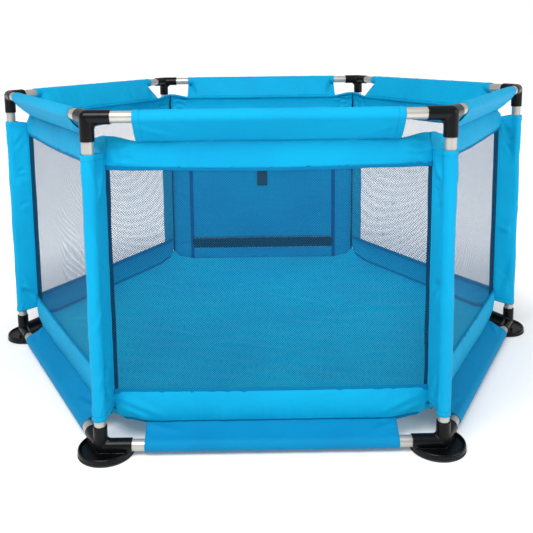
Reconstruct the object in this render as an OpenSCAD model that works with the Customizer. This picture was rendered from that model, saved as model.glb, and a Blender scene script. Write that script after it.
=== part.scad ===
// Hexagonal playpen: six posts and twelve rails of round tube pushed into
// moulded corner connectors, with a fabric and net enclosure sewn round them.
// Millimetres. X is left to right, Y is front to rear, Z is up.
// The origin is on the ground below the middle of the hexagon.

/* [Frame] */
// Distance between neighbouring post axes, and from the centre to each post
side = 650; // [560:10:760]
// Outside diameter of every tube
tube_d = 22; // [20:0.5:23]
// Wall thickness of the tubes
tube_wall = 1.2; // [0.8:0.1:2]
// Height of the bottom rails' axis above the ground
low_z = 20; // [20:1:24]
// Height of the top rails' axis above the ground
top_z = 646; // [560:1:760]

/* [Connectors] */
// Outside diameter of a connector's sockets
socket_d = 27; // [26:0.5:29]
// Radial clearance between a tube and its socket
socket_fit = 0.1; // [0.05:0.05:0.2]
// Reach of a top connector's two horizontal sockets from the post's axis
top_arm = 43; // [34:1:46]
// Reach of a top connector's downward socket below the rail's axis
top_drop = 44; // [36:1:52]
// Reach of a bottom connector's two horizontal sockets from the post's axis
low_arm = 60; // [50:1:70]
// Reach of a bottom connector's upward socket above the rail's axis
low_rise = 41; // [30:1:44]
// Distance from the post's axis to the closed end of each socket
socket_stop = 18; // [17:0.5:22]

/* [Feet] */
// Diameter of the foot's rounded front
foot_d = 108; // [96:1:112]
// Distance of the foot's centre inward from the post's axis
foot_in = 14; // [10:0.5:16]
// Height of the foot's raised rim above the ground
foot_h = 14; // [12:0.5:16]
// Thickness of the rubber pad under the foot
pad_t = 3.6; // [2:0.2:4]

/* [Enclosure] */
// Distance from the plane of the posts in to the fabric wall
bag_inset = 37; // [30:1:44]
// Thickness of the fabric
cloth_t = 1; // [0.8:0.1:1.4]
// Thickness of the net
net_t = 0.8; // [0.6:0.1:1]
// Gap between a tube and the sleeve sewn round it
sleeve_gap = 0.3; // [0.3:0.1:0.8]
// Distance from a post's axis to the end of a top rail's sleeve
top_sleeve_end = 81; // [60:1:100]
// Distance from a post's axis to the end of a bottom rail's sleeve
low_sleeve_end = 84; // [76:1:100]
// Height of the seam between the upper band and its skirt
band_top_z = 596; // [590:1:600]
// Height of the upper band's lower edge, where the net starts
band_low_z = 544; // [530:1:550]
// Height of the net's lower edge
net_low_z = 116; // [100:1:130]
// Height of the seam between the lower band and its flap
flap_z = 50; // [48:1:56]
// Height of the floor's underside
floor_z = 44; // [40:1:46]
// Lower end of a post's sleeve
post_sleeve_low = 73; // [68:1:76]
// Upper end of a post's sleeve
post_sleeve_top = 580; // [550:1:585]

/* [Doorway] */
// Width of the doorway in the rear wall
door_w = 476; // [400:2:500]
// Height of the doorway's sill, where the zip tape starts
sill_z = 80.6; // [70:0.2:240]
// Height of the zip tape with its teeth
zip_h = 32; // [24:1:40]
// Length of the slider's travel along the zip
zip_travel = 444; // [300:2:444]
// Length of the slider's pull tab
pull_l = 32; // [24:1:36]
// Length of the strap that ties up the rolled door
strap_l = 250; // [160:5:300]
// Width of that strap
strap_w = 34; // [24:1:40]

/* [Hidden] */
$fn = 64;
apothem = side * cos(30);
wall = apothem - bag_inset;           // inner face of the fabric walls
half = wall * tan(30) - 0.6;          // half the width of one wall
tube_r = tube_d / 2;
socket_r = socket_d / 2;
sleeve_ri = tube_r + sleeve_gap;
sleeve_ro = sleeve_ri + cloth_t;
foot_r = foot_d / 2;
gusset_r = half * sin(30) + (wall + cloth_t) * cos(30) + 0.6;
mid = wall + cloth_t / 2;             // middle of the wall's thickness
hinge_z = band_low_z - 2;             // door's hinge line
zip_low = sill_z + 0.4;
zip_top = zip_low + zip_h;            // top of the teeth
door_low = zip_top + 2.4;
slider_x = 222;                       // slider's place with the zip shut
strap_y = wall - 2.3;
strap_z = band_low_z + 3;
pull_y = mid + 6.1;                   // axis of the pull tab's pin
pull_z = zip_top - 4;

// Directions: each wall by its outward normal, each post by its bearing
function wall_dir(s) =
  s == "front" ? 270 : s == "front_right" ? 330 : s == "rear_right" ? 30 :
  s == "rear" ? 90 : s == "rear_left" ? 150 : 210;
function post_dir(s) =
  s == "front_left" ? 240 : s == "front_right" ? 300 : s == "right" ? 0 :
  s == "rear_right" ? 60 : s == "rear_left" ? 120 : 180;

// Frame of one wall: X along it, Y outwards, Z up
module at_wall(s) { rotate([0, 0, wall_dir(s) - 90]) children(); }
// Frame of one post: X outwards, its axis at the origin
module at_post(s) { rotate([0, 0, post_dir(s)]) translate([side, 0, 0]) children(); }
// Lay a Z extrusion along X, so that a profile drawn as (Y, Z) stays upright
module along_x(l) {
  translate([-l / 2, 0, 0]) rotate([90, 0, 90]) linear_extrude(height = l) children();
}
module tube(l) {
  difference() {
    cylinder(h = l, r = tube_r);
    translate([0, 0, -1]) cylinder(h = l + 2, r = tube_r - tube_wall);
  }
}

// ---- frame tubes ----
module post(s) {
  color("silver") at_post(s) translate([0, 0, low_z + socket_stop + 0.2])
    tube(top_z - low_z - 2 * socket_stop - 0.4);
}
module rail(s, z) {
  l = side - 2 * socket_stop - 0.4;
  color("silver") at_wall(s) translate([-l / 2, apothem, z]) rotate([0, 90, 0]) tube(l);
}

// ---- connectors ----
// One socket's outside, from the elbow's centre along +Z, with a chamfered mouth
module socket_body(reach) {
  cylinder(h = reach - 1, r = socket_r);
  translate([0, 0, reach - 1]) cylinder(h = 1, r1 = socket_r, r2 = socket_r - 0.8);
}
module socket_bore(reach) {
  translate([0, 0, socket_stop]) cylinder(h = reach, r = tube_r + socket_fit);
}
// The directions of a corner's two rails, seen from its post
module to_rail(turn) { rotate([0, 0, turn]) rotate([0, 90, 0]) children(); }

module top_connector(s) {
  color([0.1, 0.11, 0.12]) at_post(s) translate([0, 0, top_z]) difference() {
    union() {
      sphere(r = socket_r);
      rotate([180, 0, 0]) socket_body(top_drop);
      for (t = [120, -120]) to_rail(t) socket_body(top_arm);
    }
    rotate([180, 0, 0]) socket_bore(top_drop);
    for (t = [120, -120]) to_rail(t) socket_bore(top_arm);
  }
}

// The foot ends behind the two rails: a wedge, 9 mm in from their axes, is cut away
module behind_rails() {
  e = [-54 - 9 * cos(30), 54 * tan(60) - 9 * sin(30)];
  translate([0, 0, -1]) linear_extrude(height = foot_h + 4)
    polygon([[-9 / cos(30), 0], e, [-140, e[1]], [-140, -e[1]], [e[0], -e[1]]]);
}
// The foot's plate: flat base, dished top and a rounded raised rim
function rim(n) = [for (i = [0:n]) let (a = 180 * i / n)
  [foot_r - 3.6 + 3.6 * cos(a), foot_h - 3.6 + 3.6 * sin(a)]];
module foot_plate() {
  difference() {
    translate([-foot_in, 0, 0]) rotate_extrude($fn = 96) polygon(concat(
      [[0, pad_t], [foot_r - 2.4, pad_t], [foot_r - 2.4, pad_t + 0.9], [foot_r, pad_t + 2]],
      rim(8),
      [[foot_r - 9.5, pad_t + 3.2], [0, pad_t + 3.2]]));
    behind_rails();
  }
}
module foot_connector(s) {
  color([0.1, 0.11, 0.12]) at_post(s) difference() {
    union() {
      foot_plate();
      translate([0, 0, low_z]) {
        sphere(r = socket_r);
        socket_body(low_rise);
        for (t = [120, -120]) to_rail(t) socket_body(low_arm);
      }
      // a web under each socket, standing on the plate
      for (t = [120, -120]) rotate([0, 0, t])
        translate([0, -4.5, pad_t + 1]) cube([low_arm - 2, 9, low_z - socket_r]);
    }
    translate([0, 0, low_z]) {
      socket_bore(low_rise);
      for (t = [120, -120]) to_rail(t) socket_bore(low_arm);
    }
  }
}
module foot_pads() {
  color([0.16, 0.16, 0.17]) for (s = ["front_left", "front_right", "right",
                                      "rear_right", "rear_left", "left"])
    at_post(s) difference() {
      translate([-foot_in, 0, 0]) rotate_extrude($fn = 96) polygon([[0, 0], [foot_r - 0.8, 0],
        [foot_r, 0.8], [foot_r, pad_t - 0.9], [foot_r - 0.7, pad_t - 0.2], [foot_r - 2.4, pad_t],
        [0, pad_t]]);
      behind_rails();
    }
}

// ---- fabric ----
// Sleeve round a post, with the gusset that ties it to the walls' corner seam
module post_sleeve(s) {
  color([0.05, 0.65, 0.9]) at_post(s) difference() {
    union() {
      translate([0, 0, post_sleeve_low])
        cylinder(h = post_sleeve_top - post_sleeve_low, r = sleeve_ro);
      translate([gusset_r - side, -0.8, post_sleeve_low + 6])
        cube([side - gusset_r - 4, 1.6, band_low_z + 6 - post_sleeve_low - 6]);
    }
    translate([0, 0, post_sleeve_low - 1])
      cylinder(h = post_sleeve_top - post_sleeve_low + 2, r = sleeve_ri);
  }
}
// Cross-section of a sleeve round a rail at height z, and of the strip that
// runs from it to the wall at height seam
module sleeve_ring(z) {
  translate([apothem, z]) difference() { circle(r = sleeve_ro); circle(r = sleeve_ri); }
}
module strip_to_wall(z, seam) {
  dy = mid - apothem;
  dz = seam - z;
  translate([apothem, z]) rotate(atan2(dz, dy))
    translate([sleeve_ri + 0.3, -cloth_t / 2])
      square([norm([dy, dz]) - sleeve_ri - 0.3, cloth_t]);
}
module upper_valance(s) {
  color([0.1, 0.68, 0.95]) at_wall(s) {
    along_x(side - 2 * top_sleeve_end) { sleeve_ring(top_z); strip_to_wall(top_z, band_top_z); }
    along_x(2 * half) translate([wall, band_low_z]) square([cloth_t, band_top_z - band_low_z]);
  }
}
module low_strip() {
  along_x(side - 2 * low_sleeve_end) { sleeve_ring(low_z); strip_to_wall(low_z, flap_z); }
}
module lower_valance(s) {
  color([0.08, 0.62, 0.9]) at_wall(s) {
    low_strip();
    along_x(2 * half) translate([wall, floor_z]) square([cloth_t, net_low_z - floor_z]);
  }
}
// Solid rear wall, open at the doorway
module rear_wall() {
  color([0.02, 0.5, 0.75]) at_wall("rear") {
    low_strip();
    translate([0, wall + cloth_t, 0]) rotate([90, 0, 0]) linear_extrude(height = cloth_t)
      difference() {
        translate([-half, floor_z]) square([2 * half, band_low_z - 0.4 - floor_z]);
        translate([-door_w / 2, sill_z]) square([door_w, band_low_z]);
      }
  }
}
module net(s) {
  color([0.75, 0.85, 0.9]) at_wall(s)
    along_x(2 * half) translate([mid - net_t / 2, net_low_z + 0.4])
      square([net_t, band_low_z - net_low_z - 0.8]);
}
module floor_sheet() {
  r = (wall - 0.6) / cos(30);
  color([0.1, 0.65, 0.9]) translate([0, 0, floor_z])
    linear_extrude(height = cloth_t)
      polygon([for (i = [0:5]) r * [cos(60 * i), sin(60 * i)]]);
}

// ---- doorway in the rear wall ----
module door_panel() {
  color([0.02, 0.52, 0.78]) at_wall("rear")
    along_x(door_w - 2.8) translate([mid - 0.6, door_low])
      square([1.2, hinge_z - 0.4 - door_low]);
}
module door_zip_tape() {
  color([0.08, 0.08, 0.09]) at_wall("rear") {
    along_x(door_w - 1.2) translate([wall, zip_low]) square([cloth_t, zip_h - 2]);
    along_x(door_w - 4) translate([mid - 1.5, zip_top - 4]) square([3, 4]);
  }
}
// Slider: a plate on each side of the teeth, a web above them, two ears and a pin
module zip_slider() {
  color([0.55, 0.56, 0.58]) at_wall("rear") translate([slider_x, 0, 0]) {
    along_x(12) {
      for (y = [mid - 3.5, mid + 1.9]) translate([y, zip_top - 8.2]) square([1.6, 10]);
      translate([mid - 3.5, zip_top + 0.4]) square([7, 1.4]);
    }
    for (x = [-3.1, 3.1]) translate([x, 0, 0]) along_x(1.4)
      translate([mid + 3, pull_z - 2.2]) square([pull_y - mid - 1.2, 4.4]);
    translate([-3.8, pull_y, pull_z]) rotate([0, 90, 0]) cylinder(h = 7.6, r = 0.8, $fn = 32);
  }
}
module zip_pull() {
  color([0.1, 0.1, 0.11]) at_wall("rear") translate([slider_x, pull_y, pull_z]) difference() {
    union() {
      translate([-2, 0, 0]) rotate([0, 90, 0]) cylinder(h = 4, r = 2, $fn = 32);
      translate([-2, -0.8, -8]) cube([4, 1.6, 8]);
      translate([-4.5, -0.8, -pull_l]) cube([9, 1.6, pull_l - 7]);
    }
    translate([-3, 0, 0]) rotate([0, 90, 0]) cylinder(h = 6, r = 0.88, $fn = 32);
  }
}
module door_tie_strap() {
  color([0.08, 0.08, 0.09]) at_wall("rear")
    along_x(strap_w) translate([strap_y - 0.7, strap_z - 1 - strap_l]) square([1.4, strap_l]);
}

post("front_left");  // post_front_left
post("front_right");  // post_front_right
post("right");  // post_right
post("rear_right");  // post_rear_right
post("rear_left");  // post_rear_left
post("left");  // post_left
rail("front", top_z);  // top_rail_front
rail("front_right", top_z);  // top_rail_front_right
rail("rear_right", top_z);  // top_rail_rear_right
rail("rear", top_z);  // top_rail_rear
rail("rear_left", top_z);  // top_rail_rear_left
rail("front_left", top_z);  // top_rail_front_left
rail("front", low_z);  // bottom_rail_front
rail("front_right", low_z);  // bottom_rail_front_right
rail("rear_right", low_z);  // bottom_rail_rear_right
rail("rear", low_z);  // bottom_rail_rear
rail("rear_left", low_z);  // bottom_rail_rear_left
rail("front_left", low_z);  // bottom_rail_front_left
top_connector("front_left");  // top_connector_front_left
top_connector("front_right");  // top_connector_front_right
top_connector("right");  // top_connector_right
top_connector("rear_right");  // top_connector_rear_right
top_connector("rear_left");  // top_connector_rear_left
top_connector("left");  // top_connector_left
foot_connector("front_left");  // foot_connector_front_left
foot_connector("front_right");  // foot_connector_front_right
foot_connector("right");  // foot_connector_right
foot_connector("rear_right");  // foot_connector_rear_right
foot_connector("rear_left");  // foot_connector_rear_left
foot_connector("left");  // foot_connector_left
foot_pads();
post_sleeve("front_left");  // post_sleeve_front_left
post_sleeve("front_right");  // post_sleeve_front_right
post_sleeve("right");  // post_sleeve_right
post_sleeve("rear_right");  // post_sleeve_rear_right
post_sleeve("rear_left");  // post_sleeve_rear_left
post_sleeve("left");  // post_sleeve_left
net("front");  // net_front
net("front_right");  // net_front_right
net("rear_right");  // net_rear_right
net("rear_left");  // net_rear_left
net("front_left");  // net_front_left
upper_valance("front");  // upper_valance_front
upper_valance("front_right");  // upper_valance_front_right
upper_valance("rear_right");  // upper_valance_rear_right
upper_valance("rear");  // upper_valance_rear
upper_valance("rear_left");  // upper_valance_rear_left
upper_valance("front_left");  // upper_valance_front_left
lower_valance("front");  // lower_valance_front
lower_valance("front_right");  // lower_valance_front_right
lower_valance("rear_right");  // lower_valance_rear_right
lower_valance("rear_left");  // lower_valance_rear_left
lower_valance("front_left");  // lower_valance_front_left
rear_wall();
floor_sheet();
door_panel();
door_zip_tape();
zip_slider();
zip_pull();
door_tie_strap();
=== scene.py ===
import math

import bpy
import numpy as np
from mathutils import Matrix, Vector


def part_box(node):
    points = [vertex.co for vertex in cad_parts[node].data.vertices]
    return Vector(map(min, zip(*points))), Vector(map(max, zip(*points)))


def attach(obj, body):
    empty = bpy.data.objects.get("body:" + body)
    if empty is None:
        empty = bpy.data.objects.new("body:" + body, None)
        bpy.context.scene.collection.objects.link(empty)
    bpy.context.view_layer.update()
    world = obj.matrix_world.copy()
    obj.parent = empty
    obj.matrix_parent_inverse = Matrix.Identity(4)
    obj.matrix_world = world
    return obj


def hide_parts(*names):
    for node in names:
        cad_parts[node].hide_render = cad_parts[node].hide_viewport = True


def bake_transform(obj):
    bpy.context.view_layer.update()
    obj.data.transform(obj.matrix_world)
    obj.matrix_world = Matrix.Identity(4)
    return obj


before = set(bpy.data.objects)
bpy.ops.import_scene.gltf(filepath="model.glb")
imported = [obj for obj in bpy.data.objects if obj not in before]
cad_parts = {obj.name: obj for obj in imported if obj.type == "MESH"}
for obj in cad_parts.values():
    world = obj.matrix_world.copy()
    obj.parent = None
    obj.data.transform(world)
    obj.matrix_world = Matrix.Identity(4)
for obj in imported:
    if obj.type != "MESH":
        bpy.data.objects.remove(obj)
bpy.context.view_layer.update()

scene = bpy.context.scene
scene.view_settings.view_transform = "Standard"
scene.view_settings.look = "None"
PI = math.pi

# ------------------------------------------------------------------ dimensions
lo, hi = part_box("top_rail_rear")
APO, TOP, R = (lo.y + hi.y) / 2, (lo.z + hi.z) / 2, (hi.z - lo.z) / 2
lo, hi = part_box("bottom_rail_rear")
LOW = (lo.z + hi.z) / 2
lo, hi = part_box("post_right")
SIDE = (lo.x + hi.x) / 2
lo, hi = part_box("upper_valance_rear")
BAND_LOW, HALF = lo.z, (hi.x - lo.x) / 2
lo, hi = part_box("rear_wall")
WALL = lo.y
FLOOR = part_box("floor_sheet")[0].z + 0.0005
MID = WALL + 0.0005
BAND_TOP = 0.596
NET_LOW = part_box("net_front")[0].z
FLAP_Z = 0.050
RV = MID / math.cos(PI / 6)  # radius of the corner seams
lo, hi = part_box("post_sleeve_right")
PS_LOW, PS_TOP = lo.z, hi.z
lo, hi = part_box("door_panel")
DOOR_LO, DOOR_HI, DOOR_HALF = lo.z, hi.z, (hi.x - lo.x) / 2
lo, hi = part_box("door_zip_tape")
ZIP_LO, ZIP_HI, ZIP_HALF = lo.z, hi.z, (hi.x - lo.x) / 2
lo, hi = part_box("door_tie_strap")
STRAP_LO, STRAP_HI, STRAP_Y, STRAP_HALF = lo.z, hi.z, (lo.y + hi.y) / 2, (hi.x - lo.x) / 2
TOP_HALF = 0.244  # half the length of a top sleeve
LOW_HALF = 0.241
RS = R + 0.0010  # middle of a sleeve wrapped on a tube

WALLS = {"front": 270, "front_right": 330, "rear_right": 30, "rear": 90, "rear_left": 150, "front_left": 210}
POSTS = {"front_left": 240, "front_right": 300, "right": 0, "rear_right": 60, "rear_left": 120, "left": 180}

# ------------------------------------------------------------------ camera and light
cam = bpy.data.cameras.new("camera")
cam_ob = bpy.data.objects.new("camera", cam)
scene.collection.objects.link(cam_ob)
yaw, pitch, roll = (math.radians(a) for a in (0.296, 7.958, -0.699))
fwd = Vector((math.sin(yaw) * math.cos(pitch), math.cos(yaw) * math.cos(pitch), -math.sin(pitch)))
rgt = Vector((math.cos(yaw), -math.sin(yaw), 0))
up = rgt.cross(fwd)
ax = rgt * math.cos(roll) + up * math.sin(roll)
ay = -rgt * math.sin(roll) + up * math.cos(roll)
cam_ob.matrix_world = Matrix.Translation((-0.0287, -1.8211, 0.7773)) @ Matrix((ax, ay, -fwd)).transposed().to_4x4()
cam.sensor_width = 36
cam.lens = 710.9 / 533 * 36
cam.shift_x = 0.0182
cam.shift_y = -0.2373
cam.clip_start = 0.02
cam.clip_end = 900
scene.camera = cam_ob


def area_light(name, loc, target, size, power, colour=(1, 1, 1)):
    d = bpy.data.lights.new(name, "AREA")
    d.shape = "RECTANGLE"
    d.size, d.size_y = size
    d.energy = power
    d.color = colour
    o = bpy.data.objects.new(name, d)
    scene.collection.objects.link(o)
    o.location = loc
    o.rotation_euler = (Vector(target) - Vector(loc)).to_track_quat("-Z", "Y").to_euler()
    return o


area_light("key", (-0.9, -2.3, 2.9), (0, 0, 0.3), (2.2, 1.4), 112)
area_light("overhead", (0.2, 0.2, 2.9), (0, 0, 0.2), (2.6, 2.0), 5)
area_light("fill", (2.6, -1.6, 1.3), (0, 0, 0.35), (1.4, 1.4), 24)

world = bpy.data.worlds.new("studio")
scene.world = world
world.use_nodes = True
world.node_tree.nodes["Background"].inputs["Color"].default_value = (1, 1, 1, 1)
wt = world.node_tree
path = wt.nodes.new("ShaderNodeLightPath")
seen = wt.nodes.new("ShaderNodeMix")
seen.inputs[2].default_value, seen.inputs[3].default_value = 0.48, 1.0
wt.links.new(path.outputs["Is Camera Ray"], seen.inputs[0])
wt.links.new(seen.outputs[0], wt.nodes["Background"].inputs["Strength"])


# ------------------------------------------------------------------ materials
def lin(c):
    return tuple(((v / 255) / 12.92 if v / 255 <= 0.04045 else ((v / 255 + 0.055) / 1.055) ** 2.4) for v in c) + (1.0,)


class Nodes:
    """A small helper that wires a material's nodes."""

    def __init__(self, name):
        self.m = bpy.data.materials.new(name)
        self.m.use_nodes = True
        self.t = self.m.node_tree
        self.b = self.t.nodes["Principled BSDF"]

    def new(self, kind, **props):
        n = self.t.nodes.new(kind)
        for k, v in props.items():
            setattr(n, k, v)
        return n

    def link(self, a, b):
        self.t.links.new(a, b)

    def math(self, op, a, b=None, c=None, clamp=False):
        n = self.new("ShaderNodeMath", operation=op, use_clamp=clamp)
        for i, v in enumerate((a, b, c)):
            if v is None:
                continue
            if isinstance(v, (int, float)):
                n.inputs[i].default_value = v
            else:
                self.link(v, n.inputs[i])
        return n.outputs[0]

    def uv(self):
        u = self.new("ShaderNodeUVMap", uv_map="cloth")
        s = self.new("ShaderNodeSeparateXYZ")
        self.link(u.outputs[0], s.inputs[0])
        return s.outputs[0], s.outputs[1], u.outputs[0]

    def obj(self):
        return self.new("ShaderNodeTexCoord").outputs["Object"]

    def noise(self, vec, scale, detail=2, rough=0.5):
        n = self.new("ShaderNodeTexNoise")
        n.inputs["Scale"].default_value = scale
        n.inputs["Detail"].default_value = detail
        n.inputs["Roughness"].default_value = rough
        self.link(vec, n.inputs["Vector"])
        return n.outputs[0]

    def stretch(self, vec, scale):
        n = self.new("ShaderNodeMapping")
        n.inputs["Scale"].default_value = scale
        self.link(vec, n.inputs["Vector"])
        return n.outputs[0]

    def ramp(self, fac, stops):
        n = self.new("ShaderNodeValToRGB")
        e = n.color_ramp.elements
        e[0].position, e[0].color = stops[0]
        e[1].position, e[1].color = stops[-1]
        for p, c in stops[1:-1]:
            x = e.new(p)
            x.color = c
        self.link(fac, n.inputs[0])
        return n.outputs[0]

    def range(self, v, a, b, c, d):
        n = self.new("ShaderNodeMapRange")
        for i, x in zip((1, 2, 3, 4), (a, b, c, d)):
            n.inputs[i].default_value = x
        self.link(v, n.inputs[0])
        return n.outputs[0]

    def bump(self, height, dist, strength=1.0, normal=None):
        n = self.new("ShaderNodeBump")
        n.inputs["Distance"].default_value = dist
        n.inputs["Strength"].default_value = strength
        self.link(height, n.inputs["Height"])
        if normal is not None:
            self.link(normal, n.inputs["Normal"])
        return n.outputs[0]


def fabric(name, colour, deep, pitch=0.00062, rough=0.60, spec=0.10, sheen=0.02, bump=0.00012):
    """Plain-woven polyester: crossed yarns from the cloth's own metres, and slow changes of shade."""
    k = Nodes(name)
    u, v, uv = k.uv()
    su = k.math("SINE", k.math("MULTIPLY", u, 2 * PI / pitch))
    sv = k.math("SINE", k.math("MULTIPLY", v, 2 * PI / pitch))
    cross = k.math("MULTIPLY", su, sv)
    yarn = k.math("MULTIPLY_ADD", cross, 0.5, 0.5)
    slub = k.noise(k.stretch(uv, (260, 2600, 1)), 1.0, 2)
    slow = k.noise(k.obj(), 5.5, 3, 0.55)
    tone = k.math("MULTIPLY_ADD", slow, 0.75, k.math("MULTIPLY", slub, 0.25))
    c = k.ramp(tone, [(0.25, deep), (0.62, colour)])
    mix = k.new("ShaderNodeMix", data_type="RGBA", blend_type="MULTIPLY")
    mix.inputs[0].default_value = 0.22
    k.link(c, mix.inputs[6])
    k.link(k.ramp(yarn, [(0.0, (0.55, 0.62, 0.7, 1)), (0.7, (1, 1, 1, 1))]), mix.inputs[7])
    k.link(mix.outputs[2], k.b.inputs["Base Color"])
    k.link(k.range(slow, 0.2, 0.8, rough - 0.05, rough + 0.07), k.b.inputs["Roughness"])
    h = k.math("ADD", yarn, k.math("MULTIPLY", k.noise(k.stretch(uv, (900, 900, 1)), 1.0, 1), 0.5))
    soft = k.bump(k.noise(k.stretch(uv, (70, 70, 1)), 1.0, 2), 0.0007, 0.35)
    k.link(k.bump(h, bump, 0.8, soft), k.b.inputs["Normal"])
    k.b.inputs["Specular IOR Level"].default_value = spec
    k.b.inputs["Sheen Weight"].default_value = sheen
    k.b.inputs["Sheen Roughness"].default_value = 0.45
    k.b.inputs["Sheen Tint"].default_value = (0.55, 0.85, 1.0, 1)
    return k.m


def ribbed(name, colour, deep, pitch=0.0011, along="u", rough=0.62, spec=0.2, bump=0.0002):
    """Tape and webbing: fine ribs across the strip."""
    k = Nodes(name)
    u, v, uv = k.uv()
    a, b = (u, v) if along == "u" else (v, u)
    rib = k.math("MULTIPLY_ADD", k.math("SINE", k.math("MULTIPLY", a, 2 * PI / pitch)), 0.5, 0.5)
    yarn = k.math("MULTIPLY_ADD", k.math("SINE", k.math("MULTIPLY", b, 2 * PI / (pitch * 0.8))), 0.5, 0.5)
    h = k.math("ADD", rib, k.math("MULTIPLY", yarn, 0.35))
    k.link(k.ramp(k.math("MULTIPLY_ADD", k.noise(k.obj(), 30, 2), 0.6, k.math("MULTIPLY", rib, 0.4)), [(0.15, deep), (0.8, colour)]), k.b.inputs["Base Color"])
    k.link(k.bump(h, bump, 0.9), k.b.inputs["Normal"])
    k.link(k.range(k.noise(k.obj(), 60, 1), 0.2, 0.8, rough - 0.06, rough + 0.06), k.b.inputs["Roughness"])
    k.b.inputs["Specular IOR Level"].default_value = spec
    return k.m


def netting(name, colour, deep, cell=0.0046):
    """Knitted net: staggered rounded holes; the threads are thin between them."""
    k = Nodes(name)
    u, v, uv = k.uv()
    fu = k.math("FRACT", k.math("MULTIPLY", u, 1 / cell))
    fv = k.math("FRACT", k.math("MULTIPLY", v, 1 / cell))
    x = k.math("ABSOLUTE", k.math("SUBTRACT", fu, 0.5))
    y = k.math("ABSOLUTE", k.math("SUBTRACT", fv, 0.5))
    x2 = k.math("SUBTRACT", 0.5, x)
    y2 = k.math("SUBTRACT", 0.5, y)

    def dist(a, b):
        e = k.math("SQRT", k.math("ADD", k.math("MULTIPLY", a, a), k.math("MULTIPLY", b, b)))
        d = k.math("MULTIPLY", k.math("ADD", a, b), 0.80)
        return k.math("ADD", k.math("MULTIPLY", e, 0.5), k.math("MULTIPLY", d, 0.5))

    d = k.math("MINIMUM", dist(x, y), dist(x2, y2))
    k.link(k.range(d, 0.308, 0.332, 0.0, 1.0), k.b.inputs["Alpha"])
    k.link(k.ramp(k.math("ADD", k.math("MULTIPLY", d, 1.0), k.math("MULTIPLY", k.noise(k.obj(), 900, 1), 0.2)), [(0.36, deep), (0.52, colour)]), k.b.inputs["Base Color"])
    k.link(k.bump(d, 0.0006, 0.7), k.b.inputs["Normal"])
    k.link(k.range(k.noise(k.obj(), 400, 1), 0.2, 0.8, 0.5, 0.66), k.b.inputs["Roughness"])
    k.b.inputs["Specular IOR Level"].default_value = 0.12
    return k.m


def plastic(name):
    """Moulded black plastic with a fine pebble and scuffed high spots."""
    k = Nodes(name)
    o = k.obj()
    fine = k.noise(o, 1500, 2)
    broad = k.noise(o, 22, 3, 0.6)
    k.link(k.ramp(broad, [(0.3, lin((5, 6, 8))), (0.7, lin((11, 12, 14)))]), k.b.inputs["Base Color"])
    k.link(k.range(k.math("ADD", broad, k.math("MULTIPLY", fine, 0.3)), 0.35, 0.95, 0.20, 0.36), k.b.inputs["Roughness"])
    k.link(k.bump(fine, 0.00005, 0.5, k.bump(k.noise(o, 90, 2), 0.0004, 0.25)), k.b.inputs["Normal"])
    k.b.inputs["Specular IOR Level"].default_value = 0.17
    return k.m


def rubber(name):
    k = Nodes(name)
    o = k.obj()
    n = k.noise(o, 240, 3)
    k.link(k.ramp(n, [(0.3, lin((22, 23, 24))), (0.75, lin((44, 45, 46)))]), k.b.inputs["Base Color"])
    k.link(k.range(n, 0.2, 0.8, 0.62, 0.82), k.b.inputs["Roughness"])
    k.link(k.bump(k.noise(o, 1100, 2), 0.00012, 0.8), k.b.inputs["Normal"])
    k.b.inputs["Specular IOR Level"].default_value = 0.35
    return k.m


def tube_metal(name):
    """Satin drawn tube: fine lines along its length, faint handling marks."""
    k = Nodes(name)
    o = k.obj()
    marks = k.noise(o, 14, 4, 0.6)
    grain = k.noise(o, 1800, 2)
    k.link(k.ramp(k.math("MULTIPLY_ADD", grain, 0.35, k.math("MULTIPLY", marks, 0.65)), [(0.25, lin((170, 167, 160))), (0.75, lin((196, 193, 186)))]), k.b.inputs["Base Color"])
    k.link(k.range(marks, 0.25, 0.8, 0.28, 0.40), k.b.inputs["Roughness"])
    k.link(k.bump(grain, 0.00003, 0.6), k.b.inputs["Normal"])
    k.b.inputs["Metallic"].default_value = 0.62
    return k.m


def cast_metal(name):
    k = Nodes(name)
    o = k.obj()
    n = k.noise(o, 500, 3)
    k.link(k.ramp(n, [(0.25, lin((120, 122, 126))), (0.75, lin((176, 178, 182)))]), k.b.inputs["Base Color"])
    k.link(k.range(n, 0.2, 0.8, 0.28, 0.44), k.b.inputs["Roughness"])
    k.link(k.bump(n, 0.00006, 0.6), k.b.inputs["Normal"])
    k.b.inputs["Metallic"].default_value = 1.0
    return k.m


def thread(name, colour):
    k = Nodes(name)
    n = k.noise(k.obj(), 1600, 1)
    k.link(k.ramp(n, [(0.2, tuple(c * 0.7 for c in colour[:3]) + (1,)), (0.8, colour)]), k.b.inputs["Base Color"])
    k.link(k.range(n, 0.2, 0.8, 0.5, 0.65), k.b.inputs["Roughness"])
    k.b.inputs["Specular IOR Level"].default_value = 0.3
    return k.m


BLUE = fabric("fabric_blue", lin((0, 160, 205)), lin((0, 146, 194)))
# Painted shade: the bottom sleeves are the same blue cloth as the walls, coloured darker for the shade they sit in.
FLAP_BLUE_PAINTED_SHADE = fabric("fabric_blue_flap_painted_shade", lin((0, 134, 184)), lin((0, 122, 172)))
FLOOR_BLUE = fabric("fabric_floor", lin((0, 182, 222)), lin((0, 162, 210)), pitch=0.0009)
# Painted shade: the rear wall and door are the same blue cloth, coloured darker for the shade inside the playpen.
REAR_BLUE_PAINTED_SHADE = fabric("fabric_rear_painted_shade", lin((0, 140, 190)), lin((0, 124, 176)))
BIND = ribbed("binding_blue", lin((0, 122, 172)), lin((0, 108, 158)), pitch=0.0009, spec=0.08)
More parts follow.
